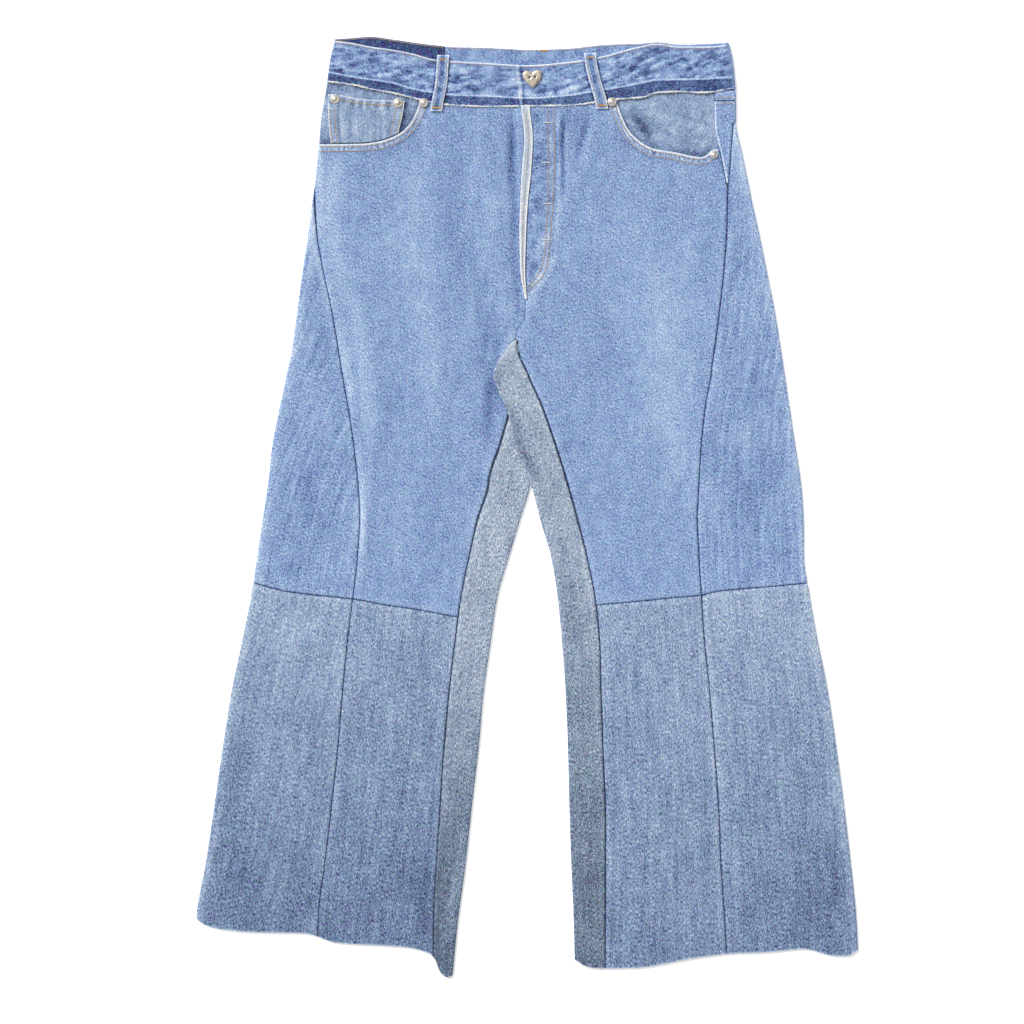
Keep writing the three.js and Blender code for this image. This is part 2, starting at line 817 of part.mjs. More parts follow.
// The left yoke wraps round to the outseam, which lies on the front at this hip.
const LEFT_YOKE_FRONT_COLUMNS = 2;
const LEFT_YOKE_BACK_COLUMNS = 4;
const backCentre = (height) => outerLeft.backReach(0, height);
add(
  "yoke_left",
  wallGeometry(
    panelGrid({
      columns: roundFold(
        outerLeft,
        () => OUTSEAM_REACH,
        backCentre,
        LEFT_YOKE_FRONT_COLUMNS,
        LEFT_YOKE_BACK_COLUMNS,
      ),
      place: outerLeft.point,
      lower: yokeSeam,
      upper: bandEdgeBack,
    }),
  ),
  COLOURS.back,
);

// The narrow front edge of the left back, cut off from the rest of it by the side panel
const EDGE_HEIGHTS = [833, 845, 860, 875, 889, 897.3, 898.4, 908, 919];
const EDGE_WRAP = 897.8;
const edgeFirst = EDGE_HEIGHTS[0];
const edgeLast = EDGE_HEIGHTS[EDGE_HEIGHTS.length - 1];
const edgeRows = EDGE_HEIGHTS.map((height) => (height - edgeFirst) / (edgeLast - edgeFirst));
const EDGE_BACK = -2.6; // above the point of the side panel it ends behind the fold
const EDGE_SHARES = [0, 0.4, 0.75, 0.84, 0.93, 1];
const edgeOuter = (height) => (height < EDGE_WRAP ? legs.left.side(height) : EDGE_BACK);
add(
  "back_edge_left",
  wallGeometry(
    panelGrid({
      columns: between(() => OUTSEAM_REACH, edgeOuter, EDGE_SHARES),
      place: outerLeft.point,
      lower: () => edgeFirst - HALF_GAP,
      upper: () => edgeLast + HALF_GAP,
      rows: edgeRows,
    }),
  ),
  COLOURS.back,
);

// Pocket facings, which fill the pocket mouths from below

const FACING_SHIFT = 8; // sideways, so that the facing also reaches under the steep end of the mouth
const FACING_WRAP = -5; // the right facing ends behind the fold
const FACING_COLUMNS = 8;
const FACING_ROW_SPACING = 13;
const FACING_SHIFT_STARTS = [-204, -190]; // where the shift and the tuck come in, from the fold
const FACING_TUCK_STARTS = [-211, -203];
const facingX = (x) => ({ x, z: FACING_LEVEL });
function facingRightLower(x) {
  const shift = FACING_SHIFT * smoothstep(x, ...FACING_SHIFT_STARTS);
  return scoopRight(x - shift) - FACING_TUCK * smoothstep(x, ...FACING_TUCK_STARTS);
}
const facingUpper = (x) => Math.min(tuckLine(x), bandEdgeBack(x)) - SEAM_GAP;
const facingLeftLower = (x) => scoopLeft(x + FACING_SHIFT) - FACING_TUCK;

add(
  "facing_right",
  wallGeometry(
    panelGrid({
      columns: roundFold(
        facingFold,
        (height) => facingFold.reach(FACING_RIGHT_END, height),
        () => FACING_WRAP,
        FACING_COLUMNS,
        1,
      ),
      place: facingFold.point,
      lower: facingRightLower,
      upper: facingUpper,
      spacing: FACING_ROW_SPACING,
    }),
  ),
  COLOURS.pocket,
);

const FACING_LAP = 2; // under the front panel's edge at the outseam
const facingLeftEnd = (height) => legs.left.outer(height) - OUTSEAM_REACH + FACING_LAP;
add(
  "facing_left",
  wallGeometry(
    panelGrid({
      columns: between(() => FACING_LEFT_START, facingLeftEnd, evenly(FACING_COLUMNS)),
      place: facingX,
      lower: facingLeftLower,
      upper: facingUpper,
      spacing: FACING_ROW_SPACING,
    }),
  ),
  COLOURS.pocket,
);

// The coin pocket on the right facing

const COIN_CLEARANCE = 1; // from the hem of the pocket mouth
const COIN_COLUMNS = 7;
const COIN_ROW_SPACING = 12;
const coinOuter = column(COIN_POCKET, "outer");
const coinInner = column(COIN_POCKET, "inner");
const coinTop = across(COIN_TOP, "height");
add(
  "coin_pocket",
  wallGeometry(
    panelGrid({
      columns: between(coinOuter, coinInner, evenly(COIN_COLUMNS)),
      place: (x) => ({ x, z: FRONT_LEVEL }),
      lower: (x) => scoopRight(x) + COIN_CLEARANCE,
      upper: coinTop,
      spacing: COIN_ROW_SPACING,
    }),
  ),
  COLOURS.pocket,
);

// The waistband: a band of two layers with a single raw edge below, over the tops of the panels

const BAND_ROWS = [0, 0.19, 0.205, 0.5, 0.8, 1];
const RAW_ROWS = 2; // the lowest rows are one layer thick
const halfBand = () => BAND_CLOTH / 2;
const bandUnder = (row) => (row < RAW_ROWS ? 0 : BAND_CLOTH / 2);
const bandEnd = column(BAND_END, "x");
const bandRightEnd = (height) => bandFoldRight.reach(bandEnd(height), height);
const BAND_SIDE_SEAM = 3.1; // the back band shows this much on the front, at the left
const BAND_LEFT_COLUMNS = 11;
const BAND_TIP = 0.6; // at the right the two bands meet on the fold

function frontBand(name, columns, fold) {
  const rows = BAND_ROWS;
  const grid = panelGrid({ columns, place: fold.point, lower: rawEdge, upper: frontTop, rows });
  add(name, wallGeometry(grid, halfBand, bandUnder), COLOURS.band);
}

const BAND_RIGHT_SHARES = [0, 0.006, 0.013, 0.1, 0.2, 0.3, 0.4, 0.5, 0.6, 0.7, 0.85, 1];
const bandRightColumns = between(() => BAND_TIP, bandRightEnd, BAND_RIGHT_SHARES);
frontBand("waistband_right", bandRightColumns, bandFoldRight);
frontBand(
  "waistband_left",
  between(
    (height) => bandFoldLeft.reach(bandEnd(height), height),
    () => BAND_SIDE_SEAM,
    evenly(BAND_LEFT_COLUMNS),
  ),
  bandFoldLeft,
);

// The back waistband, whose inner face shows above the front. Part of it is darker cloth.

const INSERT_END = -86;
const BACK_BAND_COLUMNS = 5;
const BACK_BAND_ROWS = 3;

function backBand(name, columns, fold, colour) {
  const grid = panelGrid({
    columns,
    place: fold.point,
    lower: bandEdgeBack,
    upper: backTop,
    rows: evenly(BACK_BAND_ROWS),
  });
  add(name, wallGeometry(grid, halfBand), colour);
}

backBand(
  "waistband_back_insert",
  roundFold(
    bandFoldRight,
    () => -BAND_TIP,
    (height) => bandFoldRight.backReach(INSERT_END, height),
    1,
    BACK_BAND_COLUMNS,
  ),
  bandFoldRight,
  COLOURS.insert,
);
backBand(
  "waistband_back",
  roundFold(
    bandFoldLeft,
    () => BAND_SIDE_SEAM,
    (height) => bandFoldLeft.backReach(INSERT_END, height),
    1,
    2 * BACK_BAND_COLUMNS,
  ),
  bandFoldLeft,
  COLOURS.band,
);

// The worn folded edge of the fly, on the join of the two fronts

const FLY_BOTTOM = 711;
const FLY_LIFT = 0.3; // clear of the fronts where they bend
const FLY_ROW_SPACING = 14;
add(
  "fly_strip",
  wallGeometry(
    panelGrid({
      columns: between(column(FLY_STRIP, "right"), column(FLY_STRIP, "left"), evenly(2)),
      place: (x, height) => ({ x, z: LAP_LEVEL + FLY_LIFT + foldRise(x, height) }),
      lower: () => FLY_BOTTOM,
      upper: rawEdge,
      spacing: FLY_ROW_SPACING,
    }),
  ),
  COLOURS.pale,
);

// Belt loops, straps that bend over the top edge of the waistband

function loopGeometry(rows) {
  const middle = column(rows, "x");
  const level = column(rows, "level");
  const heights = rows.map((row) => row.height);
  const first = heights[0];
  const last = heights[heights.length - 1];
  const left = (height) => middle(height) - LOOP_WIDTH / 2;
  const right = (height) => middle(height) + LOOP_WIDTH / 2;
  const grid = panelGrid({
    columns: between(left, right, evenly(2)),
    place: (x, height) => ({ x, z: level(height) }),
    lower: () => first,
    upper: () => last,
    rows: heights.map((height) => (height - first) / (last - first)),
  });
  return wallGeometry(grid, () => LOOP_CLOTH / 2);
}

for (const [name, rows] of Object.entries(LOOPS)) add(name, loopGeometry(rows), COLOURS.band);

// Rivets: small domes with a raised centre

const RIVET_SIDES = 12;
const RIVET_PROFILE = [
  [0, 0],
  [0.96, 0],
  [1, 0.12],
  [0.86, 0.3],
  [0.5, 0.26],
  [0.34, 0.4],
  [0, 0.44],
];

for (const { name, x, height, radius, level } of RIVETS) {
  const profile = RIVET_PROFILE.map(([r, z]) => new THREE.Vector2(r * radius, z * radius));
  const geometry = new THREE.LatheGeometry(profile, RIVET_SIDES).rotateX(Math.PI / 2);
  const mesh = add(name, geometry, COLOURS.metal, 0.35, 1);
  mesh.position.set(x, height, level);
}

// The button: a plain heart of cast metal, sewn on through two holes

const wasm = await Module();
wasm.setup();

function solidOf(geometry) {
  geometry.deleteAttribute("normal");
  geometry.deleteAttribute("uv");
  const merged = mergeVertices(geometry, 1e-3);
  const vertProperties = merged.attributes.position.array;
  return new wasm.Manifold(
    new wasm.Mesh({ numProp: 3, vertProperties, triVerts: new Uint32Array(merged.index.array) }),
  );
}

function geometryOf(solid) {
  const { vertProperties, triVerts } = solid.getMesh();
  const geometry = new THREE.BufferGeometry();
  geometry.setAttribute("position", new THREE.BufferAttribute(vertProperties, 3));
  geometry.setIndex(new THREE.BufferAttribute(triVerts, 1));
  geometry.computeVertexNormals();
  return geometry;
}

const HEART_CURVE_POINTS = 8;
const HOLE_SIDES = 12;

function buttonGeometry() {
  const { notch, dip, tip, tipWidth, thick, bevel, hole, holes, holeHeight } = BUTTON;
  const side = BUTTON.halfWidth - bevel;
  const top = notch + BUTTON.shoulder;
  const lobe = notch + BUTTON.rise;
  const widest = notch - BUTTON.widest;
  const waist = notch - BUTTON.waist;
  const low = tip + BUTTON.tipCurve;
  const heart = new THREE.Shape();
  heart.moveTo(0, notch);
  heart.bezierCurveTo(dip, lobe, side, top, side, widest);
  heart.bezierCurveTo(side, waist, tipWidth, low, 0, tip);
  heart.bezierCurveTo(-tipWidth, low, -side, waist, -side, widest);
  heart.bezierCurveTo(-side, top, -dip, lobe, 0, notch);
  const plate = new THREE.ExtrudeGeometry(heart, {
    depth: thick - 2 * bevel,
    curveSegments: HEART_CURVE_POINTS,
    bevelThickness: bevel,
    bevelSize: bevel,
    bevelSegments: 2,
  });
  let solid = solidOf(plate.translate(0, 0, bevel));
  for (const x of holes) {
    const drill = new THREE.CylinderGeometry(hole, hole, 3 * thick, HOLE_SIDES).rotateX(Math.PI / 2);
    solid = solid.subtract(solidOf(drill.translate(x, holeHeight, 0)));
  }
  return geometryOf(solid);
}

const button = add("button", buttonGeometry(), COLOURS.metal, 0.3, 1);
button.position.set(BUTTON.x, BUTTON.height, BAND_FACE + SEAM_GAP);
button.rotation.z = degToRad(BUTTON.tilt);

// The origin goes to the middle of the box, on the surface below

const box = new THREE.Box3().setFromObject(group, true);
const centre = box.getCenter(new THREE.Vector3());
group.position.set(-centre.x, -centre.y, -box.min.z);

export default group;
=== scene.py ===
# %% [markdown]
# # Flared jeans, laid flat
#
# This lesson dresses the rigid solids of a pair of jeans in cloth. The jeans were taken apart and
# sewn up again: wide panels are let into the sides and the inseams, the legs are flared from the
# knee down, and the waistband is sewn on with its dark lower edge left raw. They lie flat with the
# front up, so every panel is a thin sheet that rests on the one below it.

import math
import random

import bmesh
import bpy
import numpy as np
from mathutils import Matrix, Vector
from mathutils.bvhtree import BVHTree


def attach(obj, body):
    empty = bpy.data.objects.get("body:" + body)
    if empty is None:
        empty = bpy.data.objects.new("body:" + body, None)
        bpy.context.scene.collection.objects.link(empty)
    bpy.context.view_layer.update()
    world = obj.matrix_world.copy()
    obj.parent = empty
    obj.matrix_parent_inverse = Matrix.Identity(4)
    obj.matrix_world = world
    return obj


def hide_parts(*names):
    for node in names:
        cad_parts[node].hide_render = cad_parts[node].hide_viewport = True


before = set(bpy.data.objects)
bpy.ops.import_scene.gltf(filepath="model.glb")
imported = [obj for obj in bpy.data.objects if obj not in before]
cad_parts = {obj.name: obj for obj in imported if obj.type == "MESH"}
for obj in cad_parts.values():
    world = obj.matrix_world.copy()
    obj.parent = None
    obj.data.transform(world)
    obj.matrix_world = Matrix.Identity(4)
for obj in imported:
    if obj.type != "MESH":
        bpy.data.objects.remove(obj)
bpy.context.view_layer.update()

# %% [markdown]
# Lengths below are in millimetres, as a pattern cutter would write them. Every place is given by x,
# which grows towards the wearer's left, and by a height above the lowest point of the hem.
# One function turns such a place into the frame's metres.

# %% Sizes of the cloth
CLOTH = 1.2
BAND_CLOTH = 2.4
SEAM_GAP = 0.3
HALF_GAP = SEAM_GAP / 2
BACK_LEVEL = CLOTH / 2
FRONT_LEVEL = 3.6
FACING_LEVEL = 2.1
BAND_FACE = 5.7
BAND_BACK_LEVEL = BAND_CLOTH / 2
LAP_LEVEL = 5.1
CROSSING_RISE = 3
CROSSING_UNDER_RISE = LAP_LEVEL - BACK_LEVEL
BAND_TUCK = 8
FACING_TUCK = 10
OUTSEAM_REACH = 23
ORIGIN_X = 0.15
ORIGIN_HEIGHT = -493.53
MM = 0.001


def in_frame(points):
    """Places in millimetres as the frame's metres."""
    return (np.asarray(points, float) + (ORIGIN_X, ORIGIN_HEIGHT, 0)) * MM


print("the hem's lowest point is at", in_frame((0, 0, 0)).round(4))

# %% [markdown]
# A seam is a smooth curve through a few measured places. The curve below never swings past the
# values that it joins, which an ordinary spline does, so a nearly straight seam stays straight.


# %% Smooth curves through tables
def curve(rows, value=1, at=0):
    """A smooth curve through one column of a table."""
    known = [row for row in rows if row[value] is not None]
    places = np.array([row[at] for row in known], float)
    values = np.array([row[value] for row in known], float)
    slopes = np.diff(values) / np.diff(places)
    tangents = np.empty_like(values)
    tangents[0], tangents[-1] = slopes[0], slopes[-1]
    before, after = slopes[:-1], slopes[1:]
    same_way = before * after > 0
    total = np.where(same_way, before + after, 1)
    tangents[1:-1] = np.where(same_way, 2 * before * after / total, 0)

    def read(position):
        p = np.clip(position, places[0], places[-1])
        i = np.clip(np.searchsorted(places, p, side="right") - 1, 0, len(places) - 2)
        span = places[i + 1] - places[i]
        t = (p - places[i]) / span
        blend = t * t * (3 - 2 * t)
        bulge = span * (tangents[i] * t * (1 - t) ** 2 - tangents[i + 1] * t * t * (1 - t))
        return values[i] + (values[i + 1] - values[i]) * blend + bulge

    return read


def smooth(value, low, high):
    """0 below low, 1 above high, and smooth in between."""
    t = np.clip((np.asarray(value, float) - low) / (high - low), 0, 1)
    return t * t * (3 - 2 * t)


def lerp(a, b, share):
    """The value at a share of the way from a to b."""
    return a + (b - a) * share


def steady(value):
    """A line or an edge whose value is the same at every place."""
    return lambda place: value + 0 * np.asarray(place, float)


def flat_at(level):
    """Lays cloth flat at a level."""
    return lambda x, height: (x, np.full(np.shape(x), level))


def bell(value, width):
    """1 at 0, and falling away softly on both sides."""
    return np.exp(-((value / width) ** 2))


print("halfway up a ramp:", float(smooth(0.5, 0, 1)))

# %% [markdown]
# The two legs are described by sections at chosen heights. Each row gives the x of the folds at the
# leg's edges, and how far round the cloth each seam lies from its fold.

# %% Sections of the legs
# height, outer fold, side seam, back side seam, inseam, back inseam, inner fold
RIGHT_LEG = (
    (0, -348.5, 123, 96, 20, 26, -78.5), (60, -347.5, 128.5, 95, 26, 27, -72.5),
    (120, -337.5, 125.5, 93, 31, 28, -64.5), (180, -328.5, 123.5, 91, 33.5, 29, -58),
    (240, -320, 121.5, 88, 36.5, 30, -51), (300, -310.5, 117, 85, 36.5, 30, -45.5),
    (360, -298, 110.5, 82, 38, 30, -37), (400, -290, 107.5, 80, 38.5, 30, -31),
    (440, -284, 106, 78, 42, 30, -19.5), (480, -278, 102.5, 75, 44.5, 29, -7.5),
    (520, -272, 94.5, 70, 43, 28, 3), (560, -267.5, 85.5, 62, 27.5, 22, -0.5),
    (600, -259.5, 71.5, 54, 13, 12, -4.5), (640, -251, 56, 45, 7, 5, -7),
    (656, -247.5, 50, 41, 5, 3.2, -7.5), (700, -241.5, 36.5, 32, None, None, None),
    (740, -236, 22.5, 24, None, None, None), (780, -230, 9.5, 17, None, None, None),
    (820, -225, 1.5, 11, None, None, None), (862, -219.5, -4, 6.6, None, None, None),
    (900, -216.5, -5.5, 6.2, None, None, None), (930, -211.5, -5.5, 6.2, None, None, None),
    (960, -207.5, None, None, None, None, None), (985, -201.5, None, None, None, None, None),
)
# height, inner fold, inseam, back inseam, side seam, back side seam, outer fold
LEFT_LEG = (
    (0, 50, 32, 27, 138.5, 100, 348.5), (60, 48.5, 33.5, 28, 138.5, 98, 345.5),
    (120, 46, 36, 28, 136.5, 96, 339.5), (180, 44, 38, 29, 132, 94, 332.5),
    (240, 42.5, 37, 30, 128.5, 91, 324.5), (300, 40, 37.5, 30, 124.5, 88, 315.5),
    (360, 35.5, 40, 30, 118.5, 85, 303.5), (400, 31.5, 39.5, 30, 114, 82, 296.5),
    (440, 25, 38, 29, 110.5, 79, 290.5), (480, 13.5, 39, 24, 112, 75, 290),
    (500, 8.5, 38.5, 14, 110, 72, 289), (520, 3, 38, 8.5, 107, 69, 287), (560, -9, 37.5, 8, 98.5, 60, 281),
    (600, -23.5, 38, 8, 88, 50, 275), (620, -32, 37.5, 8, 81.5, 46, 272),
    (630, -35.5, 36.5, 8, 78, 44, 270.5), (640, -33.5, 30, 7, 75.5, 42, 269),
    (650, -28.5, 20.5, 6, 72.5, 40, 267.5), (660, -20.5, 9.5, 4, 69.5, 38, 266),
    (700, None, None, None, 58, 30, 259.5), (740, None, None, None, 45.5, 22, 251.5),
    (780, None, None, None, 34.5, 15, 243.5), (820, None, None, None, 24.5, 9, 234.5),
    (860, None, None, None, 13.5, 3.6, 226.5), (898, None, None, None, 2.8, 3.2, 219),
    (920, None, None, None, 1.2, 3.2, 219), (960, None, None, None, None, None, 216),
    (985, None, None, None, None, None, 210),
)
RIGHT_NAMES = ("outer", "side", "sideBack", "inseam", "inseamBack", "inner")
LEFT_NAMES = ("inner", "inseam", "inseamBack", "side", "sideBack", "outer")
right = {name: curve(RIGHT_LEG, i + 1) for i, name in enumerate(RIGHT_NAMES)}
left = {name: curve(LEFT_LEG, i + 1) for i, name in enumerate(LEFT_NAMES)}
print("hem widths", [round(float(leg["inner"](0) - leg["outer"](0))) for leg in (right, left)])

# %% Seams and edges that run across, as x and height
KNEE = (
    (-290, 415), (-260, 406.5), (-235, 402.5), (-183, 397), (-150, 391), (-110, 385), (-75, 378.5),
    (-20, 372), (25, 384), (73, 390.5), (110, 394), (150, 398), (182, 401), (200, 405), (230, 408),
    (260, 410.5), (297, 414),
)
HEM = (
    (-347, 61), (-337, 54.5), (-320, 50.5), (-285, 47.5), (-235, 46.5), (-200, 36.5), (-130, 32),
    (-103, 25.5), (-97, 19), (-91, 5), (-84, 0), (-76, 3), (50, 18), (60, 12), (75, 9.5), (110, 10),
    (180, 21), (213, 25), (250, 26.5), (290, 30), (320, 23), (335, 22.5), (348, 30),
)
# x, top of the back waistband, top of the front waistband, raw lower edge
WAIST = (
    (-208, 984, 983, 939), (-185, 985.5, 980.5, 936), (-165, 987, 976.5, 931.5), (-140, 984, 973, 927),
    (-120, 981, 969, 922), (-100, 978.5, 963.5, 917.5), (-80, 976.5, 961.5, 914.5), (-40, 975.5, 959, 913),
    (0, 973.5, 957, 913.5), (40, 974.5, 960, 914), (80, 978.5, 966.5, 918.5), (100, 979.5, 972, 921),
    (120, 980, 977, 922.5), (136, 981.5, 979.5, 927.5), (160, 979, 976.5, 928.5),
    (185, 979.5, 976.5, 927.5), (216, 981, 979, 932),
)
MOUTH_RIGHT = (
    (-216, 874), (-175, 874.5), (-155, 877), (-144, 880.5), (-133, 886), (-123, 895.5), (-119, 902.5),
    (-115.5, 910.5), (-112, 922),
)
MOUTH_LEFT = (
    (92, 923), (94.5, 916.5), (97, 909), (103, 894.5), (108, 886.5), (115, 879.5), (124, 873), (134, 869),
    (155, 865.5), (176, 861), (182, 860.5), (187, 862), (194, 868), (200, 869),
)
# height, x: where the two fronts meet under the fly
RISE = ((656, -12.5), (669, -12), (680, -10), (692, -2.5), (712, -2), (930, -2))
# height, x of the right edge and the left edge of the fly's folded strip
FLY_STRIP = (
    (711, -2.6, -0.4), (742, -7.4, -2.1), (784, -8.4, -1), (816, -7.4, 1),
    (847, -5.8, 4.2), (879, -3.2, 5.8), (911, -6.3, 2.6),
)
BAND_END = ((913, -6.5), (935, -8), (947, -9.5), (958, -11))
# The old crease of the waistband, where its lower edge was folded in: x, height
OLD_CREASE = (
    (-212, 950), (-200, 947.5), (-185, 944.5), (-165, 941.5), (-140, 937.5), (-120, 931.5), (-100, 928),
    (-80, 925.5), (-40, 924), (0, 922), (40, 924.5), (80, 931), (100, 934), (120, 938), (136, 941),
    (160, 941.5), (185, 942), (207, 943.5),
)
# height, x of the outer edge and the inner edge
COIN_POCKET = ((873, -206, -137), (890, -208, -134), (905, -209, -130.5), (927, -209, -127.5))
# The fly's curved stitch rows: x, height
J_INNER = (
    (21.5, 910.4), (22.1, 878.9), (22.1, 815.9), (19.9, 784.4), (18.9, 763.4), (15.8, 747.6), (11.6, 737.1),
    (3.2, 726.6), (-6.3, 718.2),
)
J_OUTER = (
    (27.3, 910.4), (28.4, 878.9), (28.4, 847.4), (27.3, 815.9), (24.2, 779.1), (22.1, 758.1), (19.9, 744.5),
    (15.8, 735), (8.4, 727.6), (-3.2, 715.1),
)
COIN_TOP = ((-209, 926.5), (-195, 925.5), (-180, 922.5), (-165, 921), (-127, 919.5))

knee, hem = curve(KNEE), curve(HEM)
back_top, front_top, raw_edge = (curve(WAIST, i) for i in (1, 2, 3))
mouth_right, mouth_left = curve(MOUTH_RIGHT), curve(MOUTH_LEFT)
rise = curve(RISE)
print("the waist is", round(float(front_top(0))), "mm above the hem's lowest point")

# %% [markdown]
# Cloth that lies on a table isn't flat. It keeps the creases of being worn and folded. Each crease is
# a soft ridge, or a trough where its height is negative, and is placed one by one at its own size.

# %% The largest folds: x, height, angle, half length, half width, rise
FOLDS = (
    (-19, 863, 91, 75, 10, -0.7), (-13, 755, 96, 80, 11, -0.6), (15, 828, 90, 130, 17, 0.8),
    (38, 866, 90, 62, 8, 0.7), (58, 886, 74, 42, 8, 0.8), (-102, 575, 94, 210, 34, 1.2),
    (-160, 700, 82, 120, 30, 0.8), (119, 600, 84, 215, 36, 1.2), (62, 745, 97, 110, 24, 0.7),
    (-55, 480, 78, 110, 22, -0.6), (96, 440, 96, 110, 20, -0.6), (-255, 190, 81, 170, 36, 1.1),
    (-150, 170, 86, 170, 34, 1.2), (-203, 120, 83, 120, 18, -0.6), (140, 180, 92, 170, 36, 1.2),
    (268, 190, 97, 170, 38, 1.1), (204, 110, 94, 110, 18, -0.6),
)
